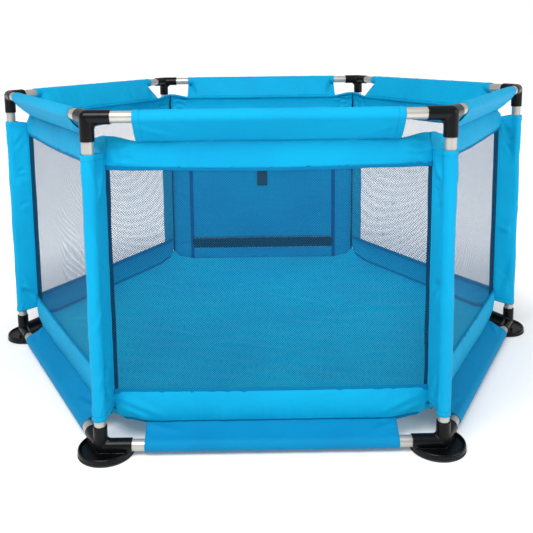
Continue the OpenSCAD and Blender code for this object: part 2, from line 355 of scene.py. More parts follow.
# Painted shade: the corner bindings are coloured navy for the shade inside the corners.
NAVY_PAINTED_SHADE = ribbed("binding_navy_painted_shade", lin((2, 40, 70)), lin((0, 26, 52)), pitch=0.0010, spec=0.06)
NET = netting("net_grey", lin((26, 92, 128)), lin((8, 62, 98)))
SEAM = ribbed("seam_blue", lin((0, 78, 142)), lin((0, 60, 122)), pitch=0.0010, spec=0.06)
BLACK_TAPE = ribbed("zip_tape_black", lin((12, 13, 15)), lin((6, 7, 8)), pitch=0.0010, spec=0.08)
WEBBING = ribbed("webbing_black", lin((26, 28, 31)), lin((12, 13, 15)), pitch=0.0017, along="v", bump=0.00035)
PLASTIC = plastic("plastic_black")
RUBBER = rubber("rubber_black")
TUBE = tube_metal("tube_satin")
CAST = cast_metal("slider_metal")
THREAD = thread("thread_blue", lin((0, 118, 168)))
THREAD_BLACK = thread("thread_black", lin((14, 15, 17)))
TEETH = thread("zip_coil_black", lin((16, 17, 20)))


# ------------------------------------------------------------------ mesh code
def smooth(x, a, b):
    t = np.clip((np.asarray(x, float) - a) / (b - a), 0, 1)
    return t * t * (3 - 2 * t)


def waves(x, y, seed, size, n=7, aniso=(1.0, 1.0)):
    """Smooth seeded noise of about unit height, whose swells are about size across."""
    rng = np.random.default_rng(seed)
    out = np.zeros(np.broadcast(x, y).shape)
    for _ in range(n):
        a, k = rng.uniform(0, 2 * PI), PI / size * rng.uniform(0.55, 1.6)
        out = out + np.sin(k * math.cos(a) * aniso[0] * x + k * math.sin(a) * aniso[1] * y + rng.uniform(0, 2 * PI)) * rng.uniform(0.5, 1)
    return out / math.sqrt(n)


def crease(x, y, p0, p1, width, height, bend=0.0, sharp=1.0):
    """A fold that runs from p0 to p1 and fades at both ends."""
    dx, dy = p1[0] - p0[0], p1[1] - p0[1]
    ln = math.hypot(dx, dy)
    s = ((x - p0[0]) * dx + (y - p0[1]) * dy) / ln ** 2
    d = ((x - p0[0]) * dy - (y - p0[1]) * dx) / ln - bend * np.sin(PI * np.clip(s, 0, 1))
    fade = np.sin(PI * np.clip(s, 0, 1)) ** 0.8
    return height * fade * (np.exp(-(np.abs(d) / width) ** (2 * sharp)) - 0.45 * np.exp(-((d - 1.7 * width) / (1.2 * width)) ** 2))


def turn(P, deg):
    """Points in a wall's or post's own frame, turned to its place."""
    a = math.radians(deg)
    P = np.asarray(P, float)
    out = P.copy()
    out[..., 0] = P[..., 0] * math.cos(a) - P[..., 1] * math.sin(a)
    out[..., 1] = P[..., 0] * math.sin(a) + P[..., 1] * math.cos(a)
    return out


def lean(P, amount=0.008):
    """Above the post sleeves nothing holds the corner seam out, so the bag rounds off there."""
    P = np.array(P, float)
    for k in range(6):
        a = math.radians(60 * k)
        c, s = math.cos(a), math.sin(a)
        d2 = (P[..., 0] - RV * c) ** 2 + (P[..., 1] - RV * s) ** 2
        w = np.exp(-d2 / 0.034 ** 2) * smooth(P[..., 2], 0.572, 0.602) * amount
        P[..., 0] -= w * c
        P[..., 1] -= w * s
    return P


def link(name, mesh, mats, smooth_shade=True):
    o = bpy.data.objects.new(name, mesh)
    scene.collection.objects.link(o)
    for m in mats if isinstance(mats, (list, tuple)) else [mats]:
        mesh.materials.append(m)
    if smooth_shade:
        mesh.polygons.foreach_set("use_smooth", [True] * len(mesh.polygons))
    return o


def grid(name, P, U, V, mat, thick=0.0009, keep=None, wrap=False, mat_of=None):
    """A sheet from a grid of points, with its own metres as its UV map."""
    n, m = P.shape[:2]
    idx = np.arange(n * m).reshape(n, m)
    a, b, c, d = idx[:-1, :-1], idx[1:, :-1], idx[1:, 1:], idx[:-1, 1:]
    F = np.stack([a, b, c, d], -1).reshape(-1, 4)
    if keep is not None:
        F = F[keep.reshape(-1)]
    used = np.unique(F)
    remap = -np.ones(n * m, int)
    remap[used] = np.arange(len(used))
    F = remap[F]
    pts = P.reshape(-1, 3)[used]
    mesh = bpy.data.meshes.new(name)
    mesh.from_pydata(pts.tolist(), [], F.tolist())
    uvl = mesh.uv_layers.new(name="cloth")
    uvs = np.stack([U.reshape(-1)[used], V.reshape(-1)[used]], -1)
    loops = np.zeros(len(mesh.loops), int)
    mesh.loops.foreach_get("vertex_index", loops)
    uvl.data.foreach_set("uv", uvs[loops].reshape(-1))
    o = link(name, mesh, mat)
    if mat_of is not None:
        mi = mat_of if keep is None else mat_of.reshape(-1)[keep.reshape(-1)]
        mesh.polygons.foreach_set("material_index", np.asarray(mi, int).reshape(-1))
    if thick:
        s = o.modifiers.new("cloth_thickness", "SOLIDIFY")
        s.thickness = thick
        s.offset = 0
    mesh.update()
    return o


def sweep(name, centres, ex, ey, section, mat, closed=False):
    """A closed section (k, 2) carried along centres (n, 3) on the axes ex and ey, with capped ends."""
    C, ex, ey, S = (np.asarray(q, float) for q in (centres, ex, ey, section))
    n, k = len(C), len(S)
    if ex.ndim == 1:
        ex = np.tile(ex, (n, 1))
    if ey.ndim == 1:
        ey = np.tile(ey, (n, 1))
    P = C[:, None] + S[None, :, :1] * ex[:, None] + S[None, :, 1:] * ey[:, None]
    F = []
    for i in range(n - (0 if closed else 1)):
        j2 = (i + 1) % n
        for j in range(k):
            F.append((i * k + j, i * k + (j + 1) % k, j2 * k + (j + 1) % k, j2 * k + j))
    if not closed:
        F.append(tuple(range(k - 1, -1, -1)))
        F.append(tuple((n - 1) * k + j for j in range(k)))
    mesh = bpy.data.meshes.new(name)
    mesh.from_pydata(P.reshape(-1, 3).tolist(), [], F)
    run = np.concatenate([[0], np.cumsum(np.linalg.norm(np.diff(C, axis=0), axis=1))])
    ring = np.concatenate([[0], np.cumsum(np.linalg.norm(np.diff(S, axis=0), axis=1))])
    uvl = mesh.uv_layers.new(name="cloth")
    loops = np.zeros(len(mesh.loops), int)
    mesh.loops.foreach_get("vertex_index", loops)
    uvl.data.foreach_set("uv", np.stack([run[loops // k], ring[loops % k]], -1).reshape(-1))
    return link(name, mesh, mat)


def flat_section(w, h, r=None, n=3, squeeze=0.0):
    """A rounded flat strip, w thick and h tall."""
    r = min(w, h) / 2 * 0.98 if r is None else r
    pts = []
    for cx, cy, a0 in ((w / 2 - r, h / 2 - r, 0), (-w / 2 + r, h / 2 - r, 90), (-w / 2 + r, -h / 2 + r, 180), (w / 2 - r, -h / 2 + r, 270)):
        for i in range(n + 1):
            a = math.radians(a0 + 90 * i / n)
            pts.append((cx + r * math.cos(a), cy + r * math.sin(a)))
    return np.array(pts)


def loop_path(P, C, r, sign, nl, na):
    """From the seam P round a tube at C and back: points, the way out from them, and distance along."""
    P, C = np.array(P, float), np.array(C, float)
    d = P - C
    phi, al = math.atan2(d[1], d[0]), math.acos(r / np.linalg.norm(d))
    a = phi + sign * al + sign * np.linspace(0, 2 * (PI - al), na + 1)
    arc = C + r * np.stack([np.cos(a), np.sin(a)], -1)
    narc = np.stack([np.cos(a), np.sin(a)], -1)
    f = np.linspace(0, 1, nl + 1)[:-1][:, None]
    one = P + (arc[0] - P) * f
    two = (P + (arc[-1] - P) * f)[::-1]
    pts = np.concatenate([one, arc, two])
    nrm = np.concatenate([np.tile(narc[0], (nl, 1)), narc, np.tile(narc[-1], (nl, 1))])
    s = np.concatenate([[0], np.cumsum(np.linalg.norm(np.diff(pts, axis=0), axis=1))])
    line = np.linalg.norm(arc[0] - P)
    on_arc = smooth(np.minimum(s, s[-1] - s), line * 0.80, line * 1.02)
    return pts, nrm, s, line, on_arc


def drawn_loop(P, C, r, sign, nl, na, q):
    """The same loop with its inner layer laid on the outer one as far as the fraction q of the way to the tube."""
    P, C = np.array(P, float), np.array(C, float)
    d = P - C
    a0 = math.atan2(d[1], d[0]) + sign * math.acos(r / np.linalg.norm(d))
    n0 = np.array([math.cos(a0), math.sin(a0)])
    touch = C + r * n0
    Q = P + (touch - P) * q - n0 * 0.0009 * min(1.0, q * 8)
    e = Q - C
    span = (sign * (math.atan2(e[1], e[0]) - a0) - math.acos(min(1.0, r / np.linalg.norm(e)))) % (2 * PI)
    a = a0 + sign * np.linspace(0, span, na + 1)
    arc = C + r * np.stack([np.cos(a), np.sin(a)], -1)
    narc = np.stack([np.cos(a), np.sin(a)], -1)
    one = P + (touch - P) * np.linspace(0, 1, nl + 1)[:-1][:, None]
    poly = np.stack([arc[-1], Q, P])
    run = np.concatenate([[0], np.cumsum(np.linalg.norm(np.diff(poly, axis=0), axis=1))])
    at = np.linspace(0, run[-1], nl + 1)[1:]
    two = np.stack([np.interp(at, run, poly[:, i]) for i in (0, 1)], -1)
    back = (at > run[1]) & (q > 0)
    ntwo = np.where(back[:, None], -n0[None], narc[-1][None])
    return np.concatenate([one, arc, two]), np.concatenate([np.tile(n0, (nl, 1)), narc, ntwo])


def drawn_rows(t, half, P, C, sign, nl, na):
    """The loops of a sleeve along t: open in its length, drawn flat over the last 30 mm at each end."""
    q = 0.965 * smooth(np.abs(t), half - 0.034, half - 0.006)
    rows = [drawn_loop(P, C, RS, sign, nl, na, float(x)) for x in q]
    return np.stack([r[0] for r in rows]), np.stack([r[1] for r in rows]), q


def stitches(name, lines, pitch, length, mat, r=0.00032):
    """Sewn stitches along lines of (points, normals): each is a short thread that dips into the cloth at its ends."""
    V, F = [], []
    prof = [(0.0, -0.9), (0.25, 0.55), (0.75, 0.55), (1.0, -0.9)]
    for pts, nrm in lines:
        pts, nrm = np.asarray(pts, float), np.asarray(nrm, float)
        seg = np.linalg.norm(np.diff(pts, axis=0), axis=1)
        s = np.concatenate([[0], np.cumsum(seg)])
        for s0 in np.arange(pitch / 2, s[-1] - length, pitch):
            base = len(V)
            at = np.array([s0 + length * f for f, _ in prof])
            q = np.stack([np.interp(at, s, pts[:, i]) for i in range(3)], -1)
            nn = np.stack([np.interp(at, s, nrm[:, i]) for i in range(3)], -1)
            nn /= np.linalg.norm(nn, axis=1)[:, None]
            t = q[-1] - q[0]
            t /= np.linalg.norm(t)
            for i, (_, h) in enumerate(prof):
                side = np.cross(t, nn[i])
                c = q[i] + nn[i] * h * r
                for a in (0, 1, 2, 3):
                    V.append(c + side * r * math.cos(a * PI / 2) + nn[i] * r * math.sin(a * PI / 2))
            for i in range(3):
                for a in range(4):
                    b = (a + 1) % 4
                    F.append((base + i * 4 + a, base + i * 4 + b, base + i * 4 + 4 + b, base + i * 4 + 4 + a))
            F.append((base + 3, base + 2, base + 1, base))
            F.append((base + 12, base + 13, base + 14, base + 15))
    mesh = bpy.data.meshes.new(name)
    mesh.from_pydata([tuple(v) for v in V], [], F)
    return link(name, mesh, mat)


def rounded(name, size, centre, mat, bevel=0.0006, seg=3):
    """A small block with rolled edges, for metal parts."""
    x, y, z = (s / 2 for s in size)
    V = [(sx * x + centre[0], sy * y + centre[1], sz * z + centre[2]) for sx in (-1, 1) for sy in (-1, 1) for sz in (-1, 1)]
    F = [(0, 1, 3, 2), (4, 6, 7, 5), (0, 4, 5, 1), (2, 3, 7, 6), (0, 2, 6, 4), (1, 5, 7, 3)]
    mesh = bpy.data.meshes.new(name)
    mesh.from_pydata(V, [], F)
    o = link(name, mesh, mat)
    b = o.modifiers.new("edge", "BEVEL")
    b.width, b.segments = bevel, seg
    return o


def final_mesh(o, name):
    """The mesh that an object's modifiers give, as a mesh of its own."""
    bpy.context.view_layer.update()
    dg = bpy.context.evaluated_depsgraph_get()
    m = bpy.data.meshes.new_from_object(o.evaluated_get(dg), depsgraph=dg)
    m.name = name
    return m


# ------------------------------------------------------------------ sewn walls
def skirt(side_name, seed):
    """The top of a wall: a doubled flap that folds over the top rail as a sleeve."""
    pts, nrm, s, line, on_arc = loop_path((MID, BAND_TOP), (APO, TOP), RS, +1, 13, 18)
    t = np.concatenate([np.linspace(-TOP_HALF, -TOP_HALF + 0.013, 5)[:-1], np.linspace(-TOP_HALF + 0.013, TOP_HALF - 0.013, 117), np.linspace(TOP_HALF - 0.013, TOP_HALF, 5)[1:]])
    T, S = np.meshgrid(t, s, indexing="ij")
    A = np.tile(on_arc, (len(t), 1))
    total = s[-1]
    side_w = np.sin(PI * np.clip(np.minimum(S, total - S) / line, 0, 1)) ** 0.7 * (1 - A)
    outer = S < total / 2
    rng = np.random.default_rng(seed)
    d = side_w * (0.0012 * waves(T, S * outer, seed, 0.11, aniso=(1, 0.5)) + 0.0016 + 0.0006 * waves(T, S, seed + 5, 0.03, aniso=(1.4, 0.5)))
    # pulls that fan in from the two ends, and a few along the seam
    for e in (-1, 1):
        for _ in range(3):
            z0 = rng.uniform(0.2, 0.9) * line
            d = d + crease(T, S, (e * TOP_HALF, line * rng.uniform(0.75, 1.1)), (e * (TOP_HALF - rng.uniform(0.05, 0.11)), z0 * 0.4), rng.uniform(0.004, 0.008), rng.uniform(0.0007, 0.0015)) * (1 - A * 0.8)
        for _ in range(2):
            d = d + crease(T, total - S, (e * TOP_HALF, line * rng.uniform(0.75, 1.1)), (e * (TOP_HALF - rng.uniform(0.04, 0.10)), 0.01), rng.uniform(0.004, 0.008), rng.uniform(0.0007, 0.0016)) * (1 - A * 0.8)
    for _ in range(7):
        t0 = rng.uniform(-0.2, 0.2)
        d = d + crease(T, S, (t0, -0.004), (t0 + rng.uniform(-0.02, 0.02), line * rng.uniform(0.45, 0.95)), rng.uniform(0.003, 0.006), rng.uniform(0.0003, 0.0009))
        t0 = rng.uniform(-0.22, 0.22)
        d = d + crease(T, total - S, (t0, -0.004), (t0 + rng.uniform(-0.03, 0.03), line * rng.uniform(0.4, 0.95)), rng.uniform(0.003, 0.007), rng.uniform(0.0004, 0.0011))
    # faint pulls across the sleeve itself
    d = d + A * (0.00035 + 0.00035 * waves(T, S, seed + 9, 0.018, aniso=(1.5, 0.25)))
    # the turned hem at each end, with the dip of its sewing
    edge = TOP_HALF - np.abs(T)
    d = d + 0.0007 * (1 - smooth(edge, 0.0105, 0.0125)) * (1 - 0.7 * A) - 0.0006 * np.exp(-((edge - 0.0125) / 0.0012) ** 2)
    d = d - 0.0005 * A * (1 - smooth(edge, 0.0, 0.010))
    PT, NR, q = drawn_rows(t, TOP_HALF, (MID, BAND_TOP), (APO, TOP), +1, 13, 18)
    d = np.where(S > total / 2, d * (1 - q[:, None]), d)
    P = np.stack([T, PT[..., 0] + NR[..., 0] * d, PT[..., 1] + NR[..., 1] * d], -1)
    # the seam sags a little at the middle of the wall, and the ends draw in
    P[..., 0] *= 1 - 0.004 * np.sin(PI * np.minimum(S, total - S) / total)
    o = grid(f"top_sleeve_{side_name}", turn(P, WALLS[side_name] - 90), T + 0.3, S, [BLUE])
    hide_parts(f"upper_valance_{side_name}")
    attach(o, "enclosure")
    Pw = turn(P, WALLS[side_name] - 90)
    # sewing rows beside each hem, outer face only, and along the seam
    n_out = len(s) // 2
    rows = []
    nw = np.zeros_like(P)
    nw[..., 1], nw[..., 2] = NR[..., 0], NR[..., 1]
    nw = turn(nw, WALLS[side_name] - 90)
    for i in (4, len(t) - 5):
        rows.append((Pw[i, :28] + nw[i, :28] * 0.0006, nw[i, :28]))
    j = 1
    rows.append((Pw[:, j] + nw[:, j] * 0.0006, nw[:, j]))
    st = stitches(f"top_sleeve_stitching_{side_name}", rows, 0.0044, 0.0031, THREAD)
    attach(st, "enclosure")
    return o


def sag_low(t):
    return -0.005 * np.cos(np.clip(t / HALF, -1, 1) * PI / 2) ** 1.5


def band_top(t):
    return BAND_TOP + 0.0095 * smooth(np.abs(t), TOP_HALF - 0.008, HALF - 0.006)


def upper_band(side_name, seed):
    """The plain strip under the skirt seam, sewn to the net by a binding; its ends stand free of the rail."""
    t = np.concatenate([np.linspace(-HALF, -HALF + 0.012, 6)[:-1], np.linspace(-HALF + 0.012, HALF - 0.012, 151), np.linspace(HALF - 0.012, HALF, 6)[1:]])
    zt, zb = band_top(t), BAND_LOW + 0.006 + sag_low(t)
    free = smooth(np.abs(t), TOP_HALF - 0.006, TOP_HALF + 0.002)
    h = np.linspace(0, 1, 17)
    rng = np.random.default_rng(seed)
    T, H = np.meshgrid(t, h, indexing="ij")
    Z = zt[:, None] + (zb - zt)[:, None] * H
    edge = HALF - np.abs(T)
    tight = 1 - np.exp(-edge / 0.010)
    d = 0.0052 * np.sin(PI * np.clip(H * 0.92 + 0.0, 0, 1)) ** 0.72 + 0.0014 * H
    d = d + 0.0015 * waves(T, Z, seed, 0.12, aniso=(1, 0.7)) * np.sin(PI * H) ** 0.6
    d = d + 0.0004 * waves(T, Z, seed + 3, 0.012, aniso=(1.3, 0.35)) * smooth(H, 0.05, 0.5)
    for _ in range(16):
        t0, w = rng.uniform(-0.28, 0.28), rng.uniform(0.004, 0.011)
        d = d - rng.uniform(0.0004, 0.0013) * np.exp(-((T - t0 - 0.006 * H) / w) ** 2) * np.exp(-((H - 0.04) / rng.uniform(0.16, 0.42)) ** 2)
    for _ in range(9):
        t0, w = rng.uniform(-0.28, 0.28), rng.uniform(0.003, 0.008)
        d = d - rng.uniform(0.0003, 0.0009) * np.exp(-((T - t0) / w) ** 2) * np.exp(-((H - 0.98) / rng.uniform(0.2, 0.5)) ** 2)
    for e in (-1, 1):  # pulls from the end of the skirt towards the corner
        d = d + crease(T, Z, (e * (TOP_HALF - 0.012), BAND_TOP - 0.002), (e * (HALF - 0.004), BAND_TOP - 0.012 + rng.uniform(-0.006, 0.006)), 0.0045, 0.0024, bend=0.003 * e)
        d = d + crease(T, Z, (e * (TOP_HALF + 0.004), BAND_TOP + 0.002), (e * (HALF - 0.006), BAND_LOW + 0.012), rng.uniform(0.005, 0.008), 0.0014)
        d = d + crease(T, Z, (e * (HALF - 0.002), BAND_LOW + rng.uniform(0.012, 0.03)), (e * (HALF - 0.055), BAND_LOW + 0.03), 0.004, 0.0016)
        for _ in range(4):
            z1 = rng.uniform(BAND_LOW + 0.01, BAND_TOP)
            d = d + crease(T, Z, (e * (HALF - 0.001), z1), (e * (TOP_HALF + rng.uniform(-0.02, 0.02)), z1 + rng.uniform(-0.022, 0.022)), rng.uniform(0.0025, 0.0045), rng.uniform(0.0010, 0.0022))
        d = d + 0.0016 * waves(T, Z, seed + 31, 0.013) * smooth(np.abs(T), TOP_HALF - 0.01, TOP_HALF + 0.02) * (e * T > 0)
    d = d * tight
    # the free ends of the top edge are rolled over
    P = np.stack([T, MID + d, Z], -1)
    fold_y = np.array([-0.0010, -0.0013, -0.0008])
    fold_z = np.array([-0.0065, -0.0012, 0.0004])
    F3 = np.stack([np.repeat(t[:, None], 3, 1), MID + fold_y[None] * (0.4 + 0.6 * free[:, None]), zt[:, None] + fold_z[None]], -1)
    P = np.concatenate([F3, P], 1)
    V = np.concatenate([np.array([-0.008, -0.002, -0.0005])[None] + 0 * F3[..., 0], H * (BAND_TOP - BAND_LOW)], 1)
    Tt = np.repeat(t[:, None], P.shape[1], 1)
    W = lean(turn(P, WALLS[side_name] - 90))
    o = grid(f"upper_band_{side_name}", W, Tt + 0.3, V, [BLUE])
    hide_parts(f"upper_valance_{side_name}")
    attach(o, "enclosure")
    # binding along the lower edge
    k = len(t)
    y = MID + 0.0012 + 0.0010 * np.sin(PI * np.arange(k) / (k - 1)) ** 0.5
    z = BAND_LOW + 0.0045 + sag_low(t) + 0.0005 * waves(t, 0 * t, seed + 11, 0.03)
    C = turn(np.stack([t * (HALF - 0.0008) / HALF, y, z], -1), WALLS[side_name] - 90)
    ey = np.array([0, 0, 1.0])
    ex = turn(np.array([0, 1.0, 0]), WALLS[side_name] - 90)
    b = sweep(f"upper_binding_{side_name}", C, ex, ey, flat_section(0.0026, 0.0098, 0.0012), BIND)
    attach(b, "enclosure")
    nn = np.tile(ex, (k, 1))
    st = stitches(f"upper_binding_stitching_{side_name}", [(C + ex * 0.0015 + ey * 0.0031, nn), (C + ex * 0.0015 - ey * 0.0031, nn)], 0.0042, 0.0029, THREAD)
    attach(st, "enclosure")
    return o


def net_panel(side_name, seed):
    t = np.linspace(-HALF + 0.0008, HALF - 0.0008, 61)
    h = np.linspace(0, 1, 41)
    T, H = np.meshgrid(t, h, indexing="ij")
    zt, zb = BAND_LOW + 0.004 + sag_low(t), NET_LOW - 0.004 + 0 * t
    Z = zb[:, None] + (zt - zb)[:, None] * H
    w = np.sin(PI * (T + HALF) / (2 * HALF)) ** 0.6 * np.sin(PI * H) ** 0.6
    d = w * (0.0022 * waves(T, Z, seed, 0.20) + 0.0009 * waves(T, Z, seed + 1, 0.06, aniso=(0.6, 1.2)))
    P = np.stack([T, MID + d, Z], -1)
    shear = 0.02 * waves(T, Z, seed + 2, 0.3) * 0.15
    o = grid(f"net_panel_{side_name}", turn(P, WALLS[side_name] - 90), T + 0.31 + shear * 0.02, Z + 0.01 * shear, [NET], thick=0)
    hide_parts(f"net_{side_name}")
    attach(o, "enclosure")


def seam_rise(t):
    """The floor's seam is drawn up at the corners by the post sleeves."""
    return 0.008 * smooth(np.abs(t), 0.232, 0.280) + 0.020 * smooth(np.abs(t), 0.280, 0.302)


def low_edge(t):
    """Lower edge of the lower band: it lifts towards the corners and turns up into them in a curve."""
    a = np.abs(t)
    rise = 0.0095 * smooth(a, 0.222, 0.288)
    x = np.clip((a - (HALF - 0.0150)) / 0.0150, 0, 0.999)
    return FLAP_Z + 0.0015 + rise + 0.024 * (1 - np.sqrt(1 - x ** 2))


def lower_band(side_name, seed):
    t = np.concatenate([np.linspace(-HALF, -HALF + 0.020, 13)[:-1], np.linspace(-HALF + 0.020, HALF - 0.020, 141), np.linspace(HALF - 0.020, HALF, 13)[1:]])
    zb, zt = low_edge(t), NET_LOW - 0.006 - 0.002 * np.cos(t / HALF * PI / 2)
    h = np.linspace(0, 1, 18)
    rng = np.random.default_rng(seed)
    T, H = np.meshgrid(t, h, indexing="ij")
    Z = zb[:, None] + (zt - zb)[:, None] * H
    edge = HALF - np.abs(T)
    tight = 1 - np.exp(-edge / 0.012)
    d = 0.0026 + 0.0058 * np.sin(PI * np.clip(H * 0.9 + 0.07, 0, 1)) ** 0.8
    d = d + 0.0019 * waves(T, Z, seed, 0.13, aniso=(1, 0.6)) * np.sin(PI * np.clip(H + 0.08, 0, 1)) ** 0.6
    d = d + 0.0004 * waves(T, Z, seed + 3, 0.014, aniso=(1.3, 0.4))
    for _ in range(10):
        t0, w = rng.uniform(-0.27, 0.27), rng.uniform(0.004, 0.012)
        d = d - rng.uniform(0.0004, 0.0014) * np.exp(-((T - t0) / w) ** 2) * np.exp(-((H - 0.98) / rng.uniform(0.16, 0.42)) ** 2)
    for _ in range(7):
        t0, w = rng.uniform(-0.25, 0.25), rng.uniform(0.006, 0.014)
        d = d + rng.uniform(0.0006, 0.0018) * np.exp(-((T - t0) / w) ** 2) * np.exp(-(H / rng.uniform(0.25, 0.5)) ** 2)
    for e in (-1, 1):
        d = d + crease(T, Z, (e * (HALF - 0.006), NET_LOW - 0.016), (e * (HALF - rng.uniform(0.07, 0.11)), FLAP_Z + 0.012), rng.uniform(0.005, 0.008), rng.uniform(0.0014, 0.0026), bend=0.004 * e)
        d = d + crease(T, Z, (e * (HALF - 0.010), NET_LOW - 0.034), (e * (HALF - rng.uniform(0.05, 0.08)), FLAP_Z + 0.008), rng.uniform(0.004, 0.007), rng.uniform(0.001, 0.002))
    d = d * tight
    P = np.stack([T, MID + d, Z], -1)
    # the edge is turned under: it rolls in and back up behind the band
    roll = np.array([(0.0002, 0.0075), (-0.0004, 0.0022), (0.0, 0.0004), (0.0010, -0.0004)])
    base = d[:, :1]
    F4 = np.stack([np.repeat(t[:, None], 4, 1), MID + (base * np.array([[0.05, 0.1, 0.4, 0.8]])) + roll[None, :, 0] * tight[:, :1], zb[:, None] + roll[None, :, 1]], -1)
    P = np.concatenate([F4, P], 1)
    V = np.concatenate([np.array([-0.011, -0.006, -0.0035, -0.001])[None] + 0 * F4[..., 0], H * 0.062], 1)
    Tt = np.repeat(t[:, None], P.shape[1], 1)
    o = grid(f"lower_band_{side_name}", turn(P, WALLS[side_name] - 90), Tt + 0.3, V, [BLUE])
    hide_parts(f"lower_valance_{side_name}")
    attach(o, "enclosure")
    k = len(t)
    y = MID + 0.0012 + 0.0012 * np.sin(PI * np.arange(k) / (k - 1)) ** 0.5
    z = NET_LOW - 0.0060 - 0.002 * np.cos(t / HALF * PI / 2)
    C = turn(np.stack([t * (HALF - 0.0008) / HALF, y, z], -1), WALLS[side_name] - 90)
    ey = np.array([0, 0, 1.0])
    ex = turn(np.array([0, 1.0, 0]), WALLS[side_name] - 90)
    b = sweep(f"lower_binding_{side_name}", C, ex, ey, flat_section(0.0026, 0.0112, 0.0012), BIND)
    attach(b, "enclosure")
    nn = np.tile(ex, (k, 1))
    st = stitches(f"lower_binding_stitching_{side_name}", [(C + ex * 0.0015 + ey * 0.0036, nn), (C + ex * 0.0015 - ey * 0.0036, nn)], 0.0042, 0.0029, THREAD)
    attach(st, "enclosure")


def flap(side_name, seed, mat):
    """The skirt that runs down and out from the floor seam and folds round the bottom rail."""
    pts, nrm, s, line, on_arc = loop_path((MID - 0.0005, FLAP_Z - 0.002), (APO, LOW), RS, -1, 12, 18)
    total = s[-1]
    u = np.linspace(-1, 1, 131)
    near = np.clip(np.minimum(s, total - s) / line, 0, 1)
    half = LOW_HALF + 0.0015 * (1 - near)
    U, S = np.meshgrid(u, s, indexing="ij")
    T = U * half[None, :]
    A = np.tile(on_arc, (len(u), 1))
    rng = np.random.default_rng(seed)
    side_w = np.sin(PI * np.clip(np.minimum(S, total - S) / line, 0, 1)) ** 0.7 * (1 - A)
    d = side_w * (0.0010 * waves(T, S, seed, 0.10, aniso=(1, 0.5)) - 0.0010)
    for e in (-1, 1):
        for _ in range(3):
            d = d + crease(T, S, (e * (LOW_HALF + 0.01), 0.006), (e * (LOW_HALF - rng.uniform(0.05, 0.10)), line * rng.uniform(0.6, 1.0)), rng.uniform(0.004, 0.007), rng.uniform(0.0008, 0.0016)) * (1 - A)
    for _ in range(6):
        t0 = rng.uniform(-0.22, 0.22)
        d = d + crease(T, S, (t0, 0), (t0 + rng.uniform(-0.02, 0.02), line), rng.uniform(0.003, 0.007), rng.uniform(0.0003, 0.0009)) * (1 - A)
    d = d + A * (0.00035 + 0.0003 * waves(T, S, seed + 9, 0.018, aniso=(1.5, 0.25)))
    edge = half[None, :] - np.abs(T)
    d = d + 0.0006 * (1 - smooth(edge, 0.0100, 0.0120)) * (1 - 0.7 * A)
    d = d - 0.0004 * A * (1 - smooth(edge, 0.0, 0.010))
    PT, NR, q = drawn_rows(u * LOW_HALF, LOW_HALF, (MID - 0.0005, FLAP_Z - 0.002), (APO, LOW), -1, 12, 18)
    d = np.where(S > total / 2, d * (1 - q[:, None]), d)
    P = np.stack([T, PT[..., 0] + NR[..., 0] * d, PT[..., 1] + NR[..., 1] * d], -1)
    P[..., 2] = np.maximum(P[..., 2], 0.0030)
    o = grid(f"bottom_sleeve_{side_name}", turn(P, WALLS[side_name] - 90), T + 0.3, S, [mat])
    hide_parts(f"lower_valance_{side_name}" if side_name != "rear" else "rear_wall")
    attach(o, "enclosure")
    # the floor seam's hem, which shows as a dark edge under the lifted corners of the band
    t = np.linspace(-HALF + 0.001, HALF - 0.001, 121)
    C = turn(np.stack([t, MID + 0.0010 + 0 * t, FLAP_Z - 0.0010 + seam_rise(t) + 0.0008 * waves(t, 0 * t, seed + 4, 0.05)], -1), WALLS[side_name] - 90)
    ex = turn(np.array([0, 1.0, 0]), WALLS[side_name] - 90)
    b = sweep(f"floor_hem_{side_name}", C, ex, np.array([0, 0, 1.0]), flat_section(0.0024, 0.0084, 0.0011), BIND)
    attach(b, "enclosure")


